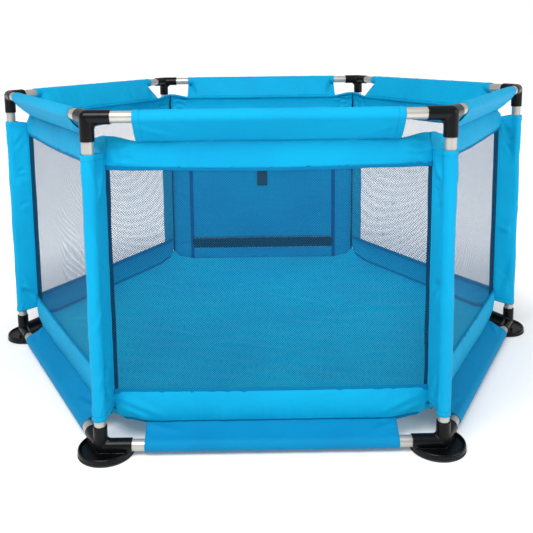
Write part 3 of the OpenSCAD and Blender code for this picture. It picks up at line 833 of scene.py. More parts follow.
def post_sleeve(post_name, seed):
    """A loop of cloth from the corner seam round the post: round on the post, flat between post and seam."""
    pts, nrm, s, line, on_arc = loop_path((RV + 0.0006, 0.0), (SIDE, 0.0), RS + 0.0001, +1, 10, 18)
    total = s[-1]
    h = np.linspace(0, 1, 141)
    Hh, S = np.meshgrid(h, s, indexing="ij")
    near = np.clip((pts[:, 0] - RV) / (SIDE - RV), 0, 1)
    zlo = PS_LOW + 0.009 * (1 - near) + 0.0005 * waves(s, 0 * s, seed + 20, 0.03)
    zhi = PS_TOP - 0.0035 * (1 - near) - 0.0005
    Z = zlo[None, :] + (zhi - zlo)[None, :] * Hh
    A = np.tile(on_arc, (len(h), 1))
    rng = np.random.default_rng(seed)
    X = pts[None, :, 0] + 0 * Z
    Y = pts[None, :, 1] + 0 * Z
    # the flat part sways as one, and its two layers part a little
    g = np.sin(PI * np.clip((X - RV) / (SIDE - RV), 0, 1) * 0.5) * (1 - A) * np.sin(PI * np.clip((X - RV) / (SIDE - RV), 0, 1)) ** 0.5
    sway = 0.0035 * waves(Z, 0 * Z, seed, 0.13) + 0.0010 * waves(Z, X, seed + 1, 0.03)
    for z0 in (PS_TOP, PS_LOW):
        sgn = -1 if z0 == PS_TOP else 1
        for _ in range(4):
            a = z0 + sgn * rng.uniform(0.005, 0.05)
            sway = sway + crease(X, Z, (RV, a), (SIDE - 0.006, a + sgn * rng.uniform(0.03, 0.08)), rng.uniform(0.004, 0.008), rng.uniform(-1, 1) * 0.0075)
    for _ in range(8):
        a = rng.uniform(PS_LOW + 0.05, PS_TOP - 0.06)
        sway = sway + crease(X, Z, (RV, a), (SIDE - 0.008, a + rng.uniform(-0.05, 0.05)), rng.uniform(0.004, 0.008), rng.uniform(-1, 1) * 0.0048)
    Y = Y + g * sway
    # on the post the cloth can only stand off it: slack rolls, most of them slanting or upright
    d = A * (0.0006 + 0.0007 * np.maximum(waves(Z, S, seed + 2, 0.05, aniso=(1, 2.2)), -0.6))
    for _ in range(13):
        a, b = rng.uniform(PS_LOW + 0.01, PS_TOP - 0.01), rng.uniform(0.2, 0.8) * total
        ln, sl = rng.uniform(0.03, 0.11), rng.uniform(-0.02, 0.02)
        d = d + crease(Z, S, (a - ln / 2, b - sl), (a + ln / 2, b + sl), rng.uniform(0.0025, 0.0045), rng.uniform(0.0006, 0.0015))
    for z0, sgn in ((PS_TOP, -1), (PS_LOW, 1)):
        for _ in range(5):
            b = rng.uniform(0.22, 0.78) * total
            d = d + crease(Z, S, (z0 + sgn * 0.002, b), (z0 + sgn * rng.uniform(0.03, 0.07), b + rng.uniform(-0.018, 0.018)), rng.uniform(0.002, 0.0035), rng.uniform(0.0008, 0.0018))
    d = np.maximum(d, -0.0001) * np.maximum(A, 0.15)
    hem = np.minimum(Z - zlo[None], zhi[None] - Z)
    d = d + 0.0006 * (1 - smooth(hem, 0.0095, 0.0115)) * np.maximum(A, 0.3)
    P = np.stack([X + nrm[None, :, 0] * d, Y + nrm[None, :, 1] * d, Z], -1)
    o = grid(f"sleeve_{post_name}", turn(P, POSTS[post_name]), S, Z, [BLUE])
    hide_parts(f"post_sleeve_{post_name}")
    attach(o, "enclosure")
    W = turn(P, POSTS[post_name])
    nn = np.zeros_like(P)
    nn[..., 0], nn[..., 1] = nrm[None, :, 0], nrm[None, :, 1]
    nn = turn(nn, POSTS[post_name])
    rows = []
    for i in (3, 137):
        rows.append((W[i] + nn[i] * 0.0006, nn[i]))
    st = stitches(f"sleeve_stitching_{post_name}", rows, 0.0042, 0.0029, THREAD)
    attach(st, "enclosure")


def corner_binding(post_name, seed):
    """The bound seam allowance at each corner, standing into the play area; its navy colour is painted shade."""
    z = np.linspace(FLOOR + 0.030, BAND_TOP + 0.004, 111)
    depth = 0.0116 - 0.0060 * smooth(z, 0.545, 0.590)
    y = 0.0014 * waves(z, 0 * z, seed, 0.09)
    C = np.stack([RV - 0.0008 - depth / 2, y, z], -1)
    sec = flat_section(1.0, 1.0, 0.30)
    n, k = len(z), len(sec)
    P = np.zeros((n, k, 3))
    P[..., 0] = C[:, None, 0] + sec[None, :, 0] * depth[:, None]
    P[..., 1] = C[:, None, 1] * (1 - (sec[None, :, 0] + 0.5)) * 1.2 + sec[None, :, 1] * 0.0017
    P[..., 2] = z[:, None]
    W = lean(turn(P, POSTS[post_name]))
    F = [(i * k + j, i * k + (j + 1) % k, (i + 1) * k + (j + 1) % k, (i + 1) * k + j) for i in range(n - 1) for j in range(k)]
    F += [tuple(range(k - 1, -1, -1)), tuple((n - 1) * k + j for j in range(k))]
    mesh = bpy.data.meshes.new(f"corner_binding_{post_name}")
    mesh.from_pydata(W.reshape(-1, 3).tolist(), [], F)
    uvl = mesh.uv_layers.new(name="cloth")
    loops = np.zeros(len(mesh.loops), int)
    mesh.loops.foreach_get("vertex_index", loops)
    ring = np.concatenate([[0], np.cumsum(np.linalg.norm(np.diff(sec, axis=0), axis=1))]) * 0.01
    uvl.data.foreach_set("uv", np.stack([z[loops // k], ring[loops % k]], -1).reshape(-1))
    o = link(f"corner_binding_{post_name}", mesh, NAVY_PAINTED_SHADE)
    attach(o, "enclosure")
    # the joint itself, a soft bead of folded cloth down the outside
    zs = np.linspace(FLOOR + 0.034, BAND_TOP + 0.006, 90)
    Cs = lean(turn(np.stack([RV + 0.0002 + 0 * zs, 0.0004 * waves(zs, 0 * zs, seed + 2, 0.03), zs], -1), POSTS[post_name]))
    ex, ey = turn(np.array([1.0, 0, 0]), POSTS[post_name]), turn(np.array([0, 1.0, 0]), POSTS[post_name])
    b = sweep(f"corner_seam_{post_name}", Cs, ex, ey, flat_section(0.0026, 0.0030, 0.0012), BLUE)
    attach(b, "enclosure")


SEEDS = {"front": 11, "front_right": 23, "rear_right": 37, "rear": 41, "rear_left": 53, "front_left": 67}
for name, seed in SEEDS.items():
    skirt(name, seed)
    upper_band(name, seed + 100)
    flap(name, seed + 300, FLAP_BLUE_PAINTED_SHADE)
    if name != "rear":
        net_panel(name, seed + 200)
        lower_band(name, seed + 400)
for i, name in enumerate(POSTS):
    post_sleeve(name, 500 + 13 * i)
    corner_binding(name, 600 + 7 * i)


# ------------------------------------------------------------------ floor
def floor():
    a, n, m = WALL + 0.0008, 141, 161
    y = np.linspace(-a, a, n)
    half = (RV + 0.0003) - np.abs(y) * math.tan(PI / 6)
    u = np.linspace(-1, 1, m)
    Y, U = np.meshgrid(y, u, indexing="ij")
    X = U * half[:, None]
    rad = np.maximum(np.abs(Y), np.maximum(np.abs(0.5 * Y + 0.8660254 * X), np.abs(0.5 * Y - 0.8660254 * X))) / a
    inner = 1 - rad
    w = 1 - np.exp(-inner / 0.10)
    rng = np.random.default_rng(77)
    d = -0.012 * smooth(inner, 0, 0.6) + w * (0.0030 * waves(X, Y, 71, 0.16) + 0.0016 * waves(X, Y, 72, 0.05))
    for _ in range(34):
        ang, r0 = rng.uniform(0, 2 * PI), rng.uniform(0.12, 0.46)
        c = np.array([math.cos(ang), math.sin(ang)]) * r0
        b = ang + rng.normal(0, 0.6) + (PI / 2 if rng.uniform() < 0.45 else 0)
        ln = rng.uniform(0.05, 0.14)
        v = np.array([math.cos(b), math.sin(b)]) * ln
        d = d + w * crease(X, Y, c - v, c + v, rng.uniform(0.007, 0.013), rng.uniform(0.0012, 0.0034), bend=rng.uniform(-0.015, 0.015))
    for k in range(6):  # pulls from each corner
        ang = math.radians(60 * k)
        for off in (-0.16, 0.13):
            p0 = np.array([math.cos(ang), math.sin(ang)]) * 0.58
            p1 = np.array([math.cos(ang + off), math.sin(ang + off)]) * rng.uniform(0.33, 0.45)
            d = d + crease(X, Y, p0, p1, rng.uniform(0.007, 0.012), rng.uniform(0.0015, 0.0032)) * smooth(inner, 0.0, 0.06)
    dv = np.min([np.hypot(X - RV * math.cos(PI / 3 * k), Y - RV * math.sin(PI / 3 * k)) for k in range(6)], axis=0)
    d = d + (0.008 * (1 - smooth(dv, 0.023, 0.071)) + 0.020 * (1 - smooth(dv, 0.001, 0.023))) * np.exp(-((inner * a) / 0.034) ** 2)
    P = np.stack([X, Y, FLOOR + 0.0002 + d], -1)
    o = grid("floor_cloth", P, X + 0.7, Y + 0.7, [FLOOR_BLUE])
    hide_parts("floor_sheet")
    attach(o, "enclosure")


floor()


# ------------------------------------------------------------------ rear wall, doorway, zip and strap
def rear_wall():
    t = np.unique(np.round(np.concatenate([np.linspace(-HALF, -0.238, 27), np.linspace(-0.238, 0.238, 120), np.linspace(0.238, HALF, 27)]), 6))
    z = np.unique(np.round(np.concatenate([np.linspace(FLOOR - 0.0035, ZIP_LO - 0.0004, 50), np.linspace(ZIP_LO - 0.0004, BAND_LOW + 0.002, 118)]), 6))
    T, Z = np.meshgrid(t, z, indexing="ij")
    rng = np.random.default_rng(909)
    edge_t = HALF - np.abs(T)
    side_w = smooth(edge_t, 0, 0.010) * smooth(np.abs(T) - 0.238, 0.0, 0.010) * smooth(Z, FLOOR + 0.01, FLOOR + 0.05) * smooth(BAND_LOW - Z, 0.0, 0.03)
    sill_w = smooth(Z, FLOOR, FLOOR + 0.012) * (1 - smooth(Z, ZIP_LO - 0.012, ZIP_LO)) * smooth(edge_t, 0, 0.02)
    d = side_w * (0.0016 * waves(T * 1.0, Z, 911, 0.035, aniso=(1.2, 0.9)) + 0.0012)
    for e in (-1, 1):
        for _ in range(15):
            a = rng.uniform(0.09, 0.54)
            d = d + side_w * crease(T, Z, (e * 0.240, a), (e * 0.300, a + rng.uniform(-0.06, 0.06)), rng.uniform(0.005, 0.009), rng.uniform(-1, 1) * 0.003)
    d = d + sill_w * (0.0022 * waves(T, Z, 915, 0.12) + 0.0010 * waves(T, Z, 916, 0.035, aniso=(1.2, 0.5)))
    for _ in range(12):
        a, b = rng.uniform(-0.27, 0.27), rng.uniform(FLOOR, ZIP_LO)
        d = d + sill_w * crease(T, Z, (a, b - 0.02), (a + rng.uniform(-0.04, 0.04), b + 0.02), rng.uniform(0.005, 0.009), rng.uniform(-1, 1) * 0.0018)
    # hem lines beside the doorway and over the sill
    d = d + 0.0006 * np.exp(-((np.abs(T) - 0.2405) / 0.003) ** 2) * smooth(Z, ZIP_LO - 0.01, ZIP_LO)
    P = np.stack([T, MID + d, Z + seam_rise(T) * (1 - smooth(Z, FLOOR + 0.001, 0.13))], -1)
    tc, zc = (t[:-1] + t[1:]) / 2, (z[:-1] + z[1:]) / 2
    TC, ZC = np.meshgrid(tc, zc, indexing="ij")
    # two strips beside the doorway and one under it, joined by the seams that run down to the floor
    low = ZC < ZIP_LO - 0.0004
    hgt = BAND_LOW + 0.002 - (FLOOR - 0.0035)
    for tag, keep, flat in (("left", TC < -0.238, (HALF - 0.238, hgt)), ("right", TC > 0.238, (HALF - 0.238, hgt)), ("sill", (np.abs(TC) < 0.238) & low, (0.476, ZIP_LO - FLOOR + 0.0035))):
        o = grid(f"rear_wall_{tag}", P, T + 0.3, Z, [REAR_BLUE_PAINTED_SHADE], keep=keep)
        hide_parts("rear_wall")
        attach(o, "enclosure")
    # a dark bound edge round the doorway
    for e in (-1, 1):
        zz = np.linspace(FLOOR + 0.003, BAND_LOW - 0.001, 60)
        C = np.stack([0 * zz + e * 0.2386, MID - 0.0019 - 0.0012 * np.clip((ZIP_LO + 0.004 - zz) / 0.012, 0, 1), zz], -1)
        b = sweep(f"doorway_binding_{'left' if e < 0 else 'right'}", C, np.array([0, 1.0, 0]), np.array([1.0, 0, 0]), flat_section(0.0018, 0.0106, 0.0008), SEAM)
        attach(b, "enclosure")


def door():
    w = DOOR_HALF
    t = np.linspace(-w, w, 121)
    z = np.concatenate([np.linspace(DOOR_LO, 0.470, 60)[:-1], np.linspace(0.470, DOOR_HI, 32)])
    T, Z = np.meshgrid(t, z, indexing="ij")
    rng = np.random.default_rng(321)
    ww = smooth(w - np.abs(T), 0, 0.03) * smooth(Z - DOOR_LO, 0, 0.02) * smooth(DOOR_HI - Z, 0.0, 0.03)
    d = ww * (0.0022 * waves(T, Z, 322, 0.16) + 0.0007 * waves(T, Z, 323, 0.04))
    for _ in range(10):
        a = rng.uniform(-0.2, 0.2)
        d = d + ww * crease(T, Z, (a, DOOR_LO + rng.uniform(0.0, 0.08)), (a + rng.uniform(-0.05, 0.05), DOOR_LO + rng.uniform(0.12, 0.28)), rng.uniform(0.007, 0.013), rng.uniform(-1, 1) * 0.0014)
    d = np.where(d < 0, d * 0.18, d)
    P = np.stack([T, MID + d + 0.0004, Z], -1)
    o = grid("door_cloth", P, T + 0.3, Z, [REAR_BLUE_PAINTED_SHADE])
    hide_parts("door_panel")
    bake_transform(o)
    # bound side edges
    for e in (-1, 1):
        C = np.stack([0 * z + e * (w - 0.0020), MID + 0.0004 + 0 * z, z], -1)
        b = sweep(f"door_binding_{'left' if e < 0 else 'right'}", C, np.array([0, 1.0, 0]), np.array([1.0, 0, 0]), flat_section(0.0022, 0.0050, 0.0010), SEAM)
        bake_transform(b)


def zip_parts():
    """The tape below the zip's coil, sewn to the sill, and the coil along its top edge."""
    t = np.linspace(-ZIP_HALF, ZIP_HALF, 121)
    h = np.linspace(ZIP_LO, ZIP_HI - 0.0018, 9)
    T, Z = np.meshgrid(t, h, indexing="ij")
    P = np.stack([T, MID + 0.0003 * waves(T, Z, 700, 0.09), Z], -1)
    o = grid("zip_tape_cloth", P, T + 0.3, Z, [BLACK_TAPE], thick=0.0011)
    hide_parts("door_zip_tape")
    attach(o, "enclosure")
    # coil: rounded turns on a 2 mm pitch, laced on a core
    V, F = [], []
    x = -ZIP_HALF + 0.003
    while x < ZIP_HALF - 0.003:
        base = len(V)
        for i in range(12):
            a = 2 * PI * i / 12
            c = np.array([x + 0.00045 * math.sin(a * 0.5), 0.00132 * math.cos(a), 0.00158 * math.sin(a)])
            out = np.array([0, math.cos(a), math.sin(a)])
            for q in range(5):
                b = 2 * PI * q / 5
                p = c + out * 0.00036 * math.cos(b) + np.array([1, 0, 0]) * 0.00048 * math.sin(b)
                V.append((p[0], MID + p[1], ZIP_HI - 0.0021 + p[2]))
        for i in range(12):
            for q in range(5):
                i2, q2 = (i + 1) % 12, (q + 1) % 5
                F.append((base + i * 5 + q, base + i * 5 + q2, base + i2 * 5 + q2, base + i2 * 5 + q))
        x += 0.0020
    mesh = bpy.data.meshes.new("zip_coil")
    mesh.from_pydata(V, [], F)
    coil = link("zip_coil", mesh, TEETH)
    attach(coil, "enclosure")
    xs = np.linspace(-ZIP_HALF + 0.001, ZIP_HALF - 0.001, 40)
    core = sweep("zip_core", np.stack([xs, MID + 0 * xs, ZIP_HI - 0.0021 + 0 * xs], -1), np.array([0, 1.0, 0]), np.array([0, 0, 1.0]), flat_section(0.0019, 0.0024, 0.0009), TEETH)
    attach(core, "enclosure")
    for e in (-1, 1):  # cloth tabs over the zip's ends
        c = rounded(f"zip_end_tab_{'left' if e < 0 else 'right'}", (0.006, 0.0034, 0.012), (e * (ZIP_HALF - 0.0035), MID, ZIP_HI - 0.0058), BLACK_TAPE, 0.0011, 3)
        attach(c, "enclosure")
    # a guard of the same tape stands behind the coil, inside the playpen
    gy = np.array([MID - 0.0010, MID - 0.0028, MID - 0.0046, MID - 0.0048, MID - 0.0048])
    gz = np.array([ZIP_LO + 0.010, ZIP_LO + 0.015, ZIP_LO + 0.021, ZIP_HI - 0.004, ZIP_HI + 0.0034])
    T2, G = np.meshgrid(t, np.arange(5), indexing="ij")
    gp = grid("zip_guard", np.stack([T2, gy[G] + 0.0002 * waves(T2, gz[G], 702, 0.08), gz[G]], -1), T2 + 0.3, gz[G], [BLACK_TAPE], thick=0.0010)
    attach(gp, "enclosure")
    line = [(np.stack([t, MID + 0.0008 + 0 * t, 0 * t + z0], -1), np.tile([0, 1.0, 0], (len(t), 1))) for z0 in (ZIP_LO + 0.004, ZIP_LO + 0.0075)]
    line += [(np.stack([t, MID - 0.0008 + 0 * t, 0 * t + z0], -1), np.tile([0, -1.0, 0], (len(t), 1))) for z0 in (ZIP_LO + 0.004, ZIP_LO + 0.0075)]
    st = stitches("zip_stitching", line, 0.0042, 0.0029, THREAD_BLACK)
    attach(st, "enclosure")


def slider_and_pull():
    lo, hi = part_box("zip_slider")
    cx, cz0, cz1 = (lo.x + hi.x) / 2, ZIP_HI - 0.0082, hi.z
    V, F = [], []
    # two shaped plates, waisted like a slider's, joined over the coil
    outline = [(-6.0, 0.2), (-5.6, 3.4), (-3.6, 4.4), (0, 4.1), (3.6, 4.4), (5.6, 3.4), (6.0, 0.2), (5.6, -3.8), (3.2, -4.6), (0, -3.9), (-3.2, -4.6), (-5.6, -3.8)]
    parts = []
    for tag, y0, y1 in (("inner", MID - 0.0035, MID - 0.0019), ("outer", MID + 0.0019, MID + 0.0035)):
        k = len(outline)
        zc = cz0 + 0.0048
        Vv = [(cx + a / 1000, y, zc + b / 1000) for y in (y0, y1) for a, b in outline]
        Ff = [tuple(range(k)), tuple(range(2 * k - 1, k - 1, -1))] + [(i, k + i, k + (i + 1) % k, (i + 1) % k) for i in range(k)]
        mesh = bpy.data.meshes.new(f"slider_plate_{tag}")
        mesh.from_pydata(Vv, [], Ff)
        o = link(f"slider_plate_{tag}", mesh, CAST)
        b = o.modifiers.new("edge", "BEVEL")
        b.width, b.segments = 0.0005, 3
        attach(o, "slider")
        parts.append(o)
    br = rounded("slider_bridge", (0.0090, 0.0068, 0.0013), (cx, MID, ZIP_HI + 0.00115), CAST, 0.0006)
    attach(br, "slider")
    for e in (-1, 1):
        ear = rounded(f"slider_ear_{'left' if e < 0 else 'right'}", (0.0014, 0.0036, 0.0044), (cx + e * 0.0031, MID + 0.0047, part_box("zip_pull")[1].z - 0.0020), CAST, 0.0005)
        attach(ear, "slider")
    plo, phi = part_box("zip_pull")
    py, pz = (plo.y + phi.y) / 2, phi.z - 0.002
    xs = np.linspace(cx - 0.0038, cx + 0.0038, 6)
    pin = sweep("slider_pin", np.stack([xs, 0 * xs + py, 0 * xs + pz], -1), np.array([0, 1.0, 0]), np.array([0, 0, 1.0]), flat_section(0.0016, 0.0016, 0.00079, 4), CAST)
    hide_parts("zip_slider")
    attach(pin, "slider")
    # the pull: a ring on the pin, a neck and a moulded finger tab with grip ribs
    a = np.linspace(0, 2 * PI, 25)[:-1]
    ring_c = np.stack([0 * a + cx, py + 0.00145 * np.cos(a), pz + 0.00145 * np.sin(a)], -1)
    rx = np.stack([0 * a, np.cos(a), np.sin(a)], -1)
    ring = sweep("pull_ring", ring_c, rx, np.array([1.0, 0, 0]), flat_section(0.0011, 0.0038, 0.0005), CAST, closed=True)
    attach(ring, "pull")
    neck = rounded("pull_neck", (0.0036, 0.0015, 0.0080), (cx, py, pz - 0.0055), CAST, 0.0005)
    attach(neck, "pull")
    zb, zt = plo.z, pz - 0.0075
    n = 17
    zz = np.linspace(0, 1, n)
    wid = 0.0030 + 0.0015 * smooth(zz, 0.0, 0.22) - 0.0006 * smooth(zz, 0.35, 0.7) + 0.0004 * smooth(zz, 0.7, 0.92)
    wid = wid * (1 - 0.35 * smooth(zz, 0.93, 1.0))
    th = 0.0011 + 0.00035 * np.sin(PI * np.clip(zz, 0, 1)) - 0.0004 * smooth(zz, 0.95, 1)
    sec = flat_section(1, 1, 0.30, 4)
    P = np.zeros((n, len(sec), 3))
    P[..., 0] = cx + sec[None, :, 0] * 2 * wid[:, None]
    P[..., 1] = py + sec[None, :, 1] * th[:, None] * 1.15
    P[..., 2] = (zt + (zb - zt) * zz)[:, None]
    k = len(sec)
    F = [(i * k + j, i * k + (j + 1) % k, (i + 1) * k + (j + 1) % k, (i + 1) * k + j) for i in range(n - 1) for j in range(k)]
    F += [tuple(range(k - 1, -1, -1)), tuple((n - 1) * k + j for j in range(k))]
    mesh = bpy.data.meshes.new("pull_tab")
    mesh.from_pydata(P.reshape(-1, 3).tolist(), [], F)
    tab = link("pull_tab", mesh, PLASTIC)
    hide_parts("zip_pull")
    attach(tab, "pull")
    for i in range(4):
        for e in (-1, 1):
            rib = rounded(f"pull_rib_{i}_{'inner' if e < 0 else 'outer'}", (0.0050, 0.0004, 0.0008), (cx, py + e * 0.00085, zb + 0.005 + 0.0022 * i), PLASTIC, 0.00018, 2)
            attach(rib, "pull")


def tie_strap():
    """Webbing that hangs inside the doorway and ties the rolled door up."""
    z = np.linspace(STRAP_HI, STRAP_LO, 110)
    x = np.linspace(-STRAP_HALF, STRAP_HALF, 15)
    Z, X = np.meshgrid(z, x, indexing="ij")
    d = STRAP_HI - Z
    y = STRAP_Y - 0.0012 * np.sin(PI * np.clip(d / 0.25, 0, 1)) * smooth(d, 0.0, 0.05) - 0.0006 * (X / STRAP_HALF) ** 2 * smooth(d, 0.01, 0.05)
    P = np.stack([X, y, Z], -1)
    o = grid("tie_strap_webbing", P, X + 0.1, Z, [WEBBING], thick=0.0014)
    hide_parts("door_tie_strap")
    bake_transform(o)
    # a folded end and its box of sewing
    zz = np.linspace(STRAP_LO + 0.0008, STRAP_LO + 0.026, 18)
    Z2, X2 = np.meshgrid(zz, x, indexing="ij")
    P2 = np.stack([X2, STRAP_Y - 0.0017 - 0.0006 * (X2 / STRAP_HALF) ** 2 + 0 * Z2, Z2], -1)
    P2[0, :, 1] += 0.0010
    f = grid("tie_strap_fold", P2, X2 + 0.1, Z2, [WEBBING], thick=0.0013)
    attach(f, "tie_strap")
    q = []
    xa, za, zb2 = STRAP_HALF - 0.004, STRAP_LO + 0.005, STRAP_LO + 0.022
    for p0, p1 in (((-xa, za), (xa, za)), ((xa, za), (xa, zb2)), ((xa, zb2), (-xa, zb2)), ((-xa, zb2), (-xa, za)), ((-xa, za), (xa, zb2)), ((xa, za), (-xa, zb2))):
        s = np.linspace(0, 1, 12)
        q.append((np.stack([p0[0] + (p1[0] - p0[0]) * s, 0 * s + STRAP_Y - 0.00245, p0[1] + (p1[1] - p0[1]) * s], -1), np.tile([0, -1.0, 0], (12, 1))))
    st = stitches("tie_strap_stitching", q, 0.0034, 0.0024, THREAD_BLACK)
    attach(st, "tie_strap")


rear_wall()
door()
zip_parts()
slider_and_pull()
tie_strap()


# ------------------------------------------------------------------ connectors and feet
def lathe(profile, n=64, z0=0.0):
    """A closed solid of revolution about z from (r, z) points."""
    pr = np.array(profile, float)
    V, F = [], []
    k = len(pr)
    for i in range(n):
        a = 2 * PI * i / n
        for r, z in pr:
            V.append((r * math.cos(a), r * math.sin(a), z + z0))
    for i in range(n):
        i2 = (i + 1) % n
        for j in range(k - 1):
            F.append((i * k + j, i2 * k + j, i2 * k + j + 1, i * k + j + 1))
    return V, F


class Solid:
    """Closed shells gathered into one mesh, later fused by a voxel remesh."""

    def __init__(self):
        self.V, self.F = [], []

    def add(self, V, F, M=None):
        b = len(self.V)
        for v in V:
            self.V.append(tuple((M @ Vector(v)) if M is not None else v))
        self.F += [tuple(b + i for i in f) for f in F]

    def cylinder(self, r0, r1, z0, z1, M=None, n=56):
        V, F = [], []
        for z, r in ((z0, r0), (z1, r1)):
            for i in range(n):
                V.append((r * math.cos(2 * PI * i / n), r * math.sin(2 * PI * i / n), z))
        F.append(tuple(range(n - 1, -1, -1)))
        F.append(tuple(range(n, 2 * n)))
        F += [(i, (i + 1) % n, n + (i + 1) % n, n + i) for i in range(n)]
        self.add(V, F, M)

    def ball(self, r, c, n=32):
        V, F = [(c[0], c[1], c[2] + r)], []
        for i in range(1, n // 2):
            a = PI * i / (n // 2)
            for j in range(n):
                b = 2 * PI * j / n
                V.append((c[0] + r * math.sin(a) * math.cos(b), c[1] + r * math.sin(a) * math.sin(b), c[2] + r * math.cos(a)))
        V.append((c[0], c[1], c[2] - r))
        last = len(V) - 1
        for j in range(n):
            F.append((0, 1 + j, 1 + (j + 1) % n))
            F.append((last, last - n + (j + 1) % n, last - n + j))
        for i in range(n // 2 - 2):
            for j in range(n):
                a, b = 1 + i * n + j, 1 + i * n + (j + 1) % n
                F.append((a, a + n, b + n, b))
        self.add(V, F)

    def prism(self, poly, y0, y1, M=None):
        """A polygon in x, z carried from y0 to y1."""
        k = len(poly)
        V = [(x, y, z) for y in (y0, y1) for x, z in poly]
        F = [tuple(range(k)), tuple(range(2 * k - 1, k - 1, -1))] + [(i, k + i, k + (i + 1) % k, (i + 1) % k) for i in range(k)]
        self.add(V, F, M)

    def fuse(self, name, voxel, smooth_steps, mat, slot_name):
        mesh = bpy.data.meshes.new(name + "_raw")
        mesh.from_pydata(self.V, [], self.F)
        o = bpy.data.objects.new(name + "_raw", mesh)
        scene.collection.objects.link(o)
        r = o.modifiers.new("fuse", "REMESH")
        r.mode = "VOXEL"
        r.voxel_size = voxel
        r.use_smooth_shade = True
        s = o.modifiers.new("fillet", "SMOOTH")
        s.factor, s.iterations = 0.5, smooth_steps
        out = final_mesh(o, name)
        bpy.data.objects.remove(o)
        out.materials.clear()
        out.materials.append(mat)
        out.polygons.foreach_set("use_smooth", [True] * len(out.polygons))
        return out


def to_rail(deg):
    return Matrix.Rotation(math.radians(deg), 4, "Z") @ Matrix.Rotation(PI / 2, 4, "Y")


SO = 0.0135
lo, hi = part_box("top_connector_right")
TOP_DROP = TOP - lo.z
TOP_ARM, LOW_ARM = 0.043, 0.060
LOW_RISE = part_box("foot_connector_right")[1].z - LOW
FOOT_R, FOOT_IN = 0.054, 0.014


def fillet_web(s, size, thick, M, reach_x, down):
    """A web in the corner between a rail socket and the post socket, with a hollow front edge."""
    r0 = SO * 0.6
    pts = [(r0, -r0 * down)]
    e = SO + size
    for i in range(9):
        a = PI / 2 * i / 8
        pts.append((e - size * math.sin(a) + 0.0, -(e - size * math.cos(a)) * down) if False else (SO - 0.001 + size * (1 - math.cos(a)), -down * (SO - 0.001 + size * (1 - math.sin(a)))))
    pts = [(r0, -down * r0), (SO - 0.001, -down * (SO - 0.001 + size))] + pts[1:] + [(SO - 0.001 + size, -down * (SO - 0.001))]
    seen, clean = set(), []
    for p in pts:
        q = (round(p[0], 6), round(p[1], 6))
        if q not in seen:
            seen.add(q)
            clean.append(p)
    s.prism(clean, -thick / 2, thick / 2, M)


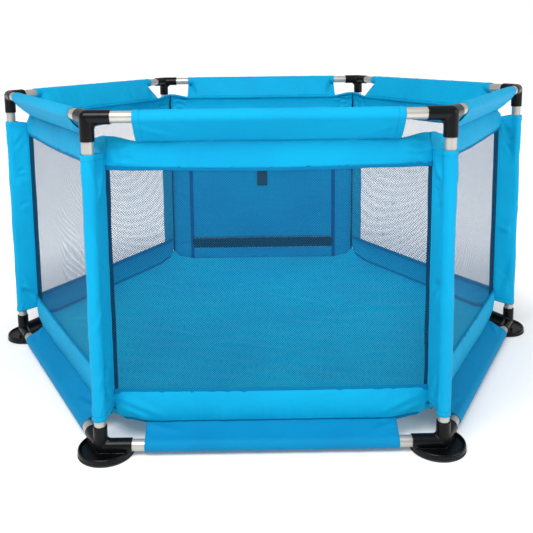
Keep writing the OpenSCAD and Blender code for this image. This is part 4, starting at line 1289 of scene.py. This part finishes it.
def connectors():
    s = Solid()
    s.ball(SO, (0, 0, 0))
    s.cylinder(SO, SO - 0.0001, 0, TOP_DROP - 0.0002, Matrix.Rotation(PI, 4, "X"))
    # a socket down the post and along each arm
    for M, reach in [(Matrix.Rotation(PI, 4, "X"), TOP_DROP)] + [(to_rail(a), TOP_ARM) for a in (120, -120)]:
        s.cylinder(SO - 0.0001, SO - 0.0001, 0, reach - 0.0002, M)
    for a in (120, -120):
        fillet_web(s, 0.0125, 0.0085, Matrix.Rotation(math.radians(a), 4, "Z"), 0, 1)
    mesh = s.fuse("top_elbow", 0.00095, 5, PLASTIC, "connector")
    for name, deg in POSTS.items():
        m = mesh.copy()
        m.transform(Matrix.Rotation(math.radians(deg), 4, "Z") @ Matrix.Translation((SIDE, 0, TOP)))
        o = bpy.data.objects.new(f"top_elbow_{name}", m)
        scene.collection.objects.link(o)
        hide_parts(f"top_connector_{name}")
        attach(o, "enclosure")
    # foot hub: sockets, their webs and the dished plate
    s = Solid()
    zc = LOW
    s.ball(SO, (0, 0, zc))
    s.cylinder(SO - 0.0001, SO - 0.0001, zc, zc + LOW_RISE - 0.0002)
    for a in (120, -120):
        M = Matrix.Translation((0, 0, zc)) @ to_rail(a)
        s.cylinder(SO - 0.0001, SO - 0.0001, 0, LOW_ARM - 0.0002, M)
        Rz = Matrix.Rotation(math.radians(a), 4, "Z")
        # the web that carries the socket down to the plate, ending in a small toe
        s.prism([(0.0, 0.0055), (LOW_ARM - 0.0035, 0.0055), (LOW_ARM - 0.0012, 0.0075), (LOW_ARM - 0.0012, zc), (0.0, zc)], -0.0050, 0.0050, Rz)
        # rising web between the rail socket and the post socket
        fillet_web(s, 0.0075, 0.0100, Matrix.Translation((0, 0, zc)) @ Rz, 0, -1)
    # the plate: round in front, ended behind the rails, with a rolled rim along its round part
    prof = [(0.0022, 0.0038), (0.0011, 0.0044), (0.0005, 0.0060), (0.0004, 0.0086), (0.0008, 0.0110), (0.0018, 0.0129), (0.0034, 0.0138), (0.0050, 0.0134), (0.0062, 0.0117), (0.0070, 0.0098), (0.0082, 0.0088)]
    ox, n, V, F = 0.006, 144, [], []
    for i in range(n):
        a = 2 * PI * i / n
        dx, dy = math.cos(a), math.sin(a)
        bx = ox + FOOT_IN
        r = -bx * dx + math.sqrt(FOOT_R ** 2 - (bx * dy) ** 2)
        cut = ox + 0.0088 / math.cos(PI / 6)
        den = dx * 0.8660254 + abs(dy) * 0.5
        k_line = -cut * 0.8660254 / den if den < -1e-6 else 9
        round_part = r <= k_line
        r = min(r, k_line)
        for e, z in prof:
            V.append((ox + (r - e) * dx, (r - e) * dy, z if round_part or z < 0.009 else 0.0088))
    k = len(prof)
    base = len(V)
    V += [(ox, 0, 0.0038), (ox, 0, 0.0083)]
    for i in range(n):
        i2 = (i + 1) % n
        F.append((base, i2 * k, i * k))
        F.append((base + 1, i * k + k - 1, i2 * k + k - 1))
        F += [(i * k + j, i2 * k + j, i2 * k + j + 1, i * k + j + 1) for j in range(k - 1)]
    s.add(V, F)
    mesh = s.fuse("foot_hub", 0.00105, 4, PLASTIC, "connector")
    for name, deg in POSTS.items():
        m = mesh.copy()
        m.transform(Matrix.Rotation(math.radians(deg), 4, "Z") @ Matrix.Translation((SIDE, 0, 0)))
        o = bpy.data.objects.new(f"foot_hub_{name}", m)
        scene.collection.objects.link(o)
        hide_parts(f"foot_connector_{name}")
        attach(o, "enclosure")


connectors()

# ------------------------------------------------------------------ carried-over CAD nodes
for name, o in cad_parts.items():
    if o.hide_render:
        continue
    mat = None
    if name.startswith(("post_", "top_rail", "bottom_rail")) and not name.startswith("post_sleeve"):
        mat = TUBE
    elif name == "foot_pads":
        mat = RUBBER
    if mat is not None:
        if len(o.material_slots) == 0:
            o.data.materials.append(mat)
        for s in o.material_slots:
            s.material = mat
    else:
        print("still a plain CAD node:", name)

# ------------------------------------------------------------------ stage
me = bpy.data.meshes.new("studio_floor")
me.from_pydata([(-300, -6, 0), (300, -6, 0), (300, 700, 0), (-300, 700, 0)], [], [(0, 1, 2, 3)])
k = Nodes("studio_floor")
k.link(k.ramp(k.noise(k.obj(), 0.8, 2), [(0.3, lin((240, 240, 240))), (0.7, lin((244, 244, 244)))]), k.b.inputs["Base Color"])
k.b.inputs["Roughness"].default_value = 0.7
k.b.inputs["Specular IOR Level"].default_value = 0.2
# Painted light: the floor glows, weakly within 0.72 m of the middle and fully beyond 1.15 m, so it shows white far off
# and darker round the playpen.
k.b.inputs["Emission Color"].default_value = (1, 1, 1, 1)
dist = k.new("ShaderNodeVectorMath", operation="LENGTH")
k.link(k.obj(), dist.inputs[0])
k.link(k.range(dist.outputs[1 if dist.outputs[0].type == "VECTOR" else 0], 0.72, 1.15, 0.10, 0.64), k.b.inputs["Emission Strength"])
me.materials.append(k.m)
ground = bpy.data.objects.new("studio_floor", me)
scene.collection.objects.link(ground)
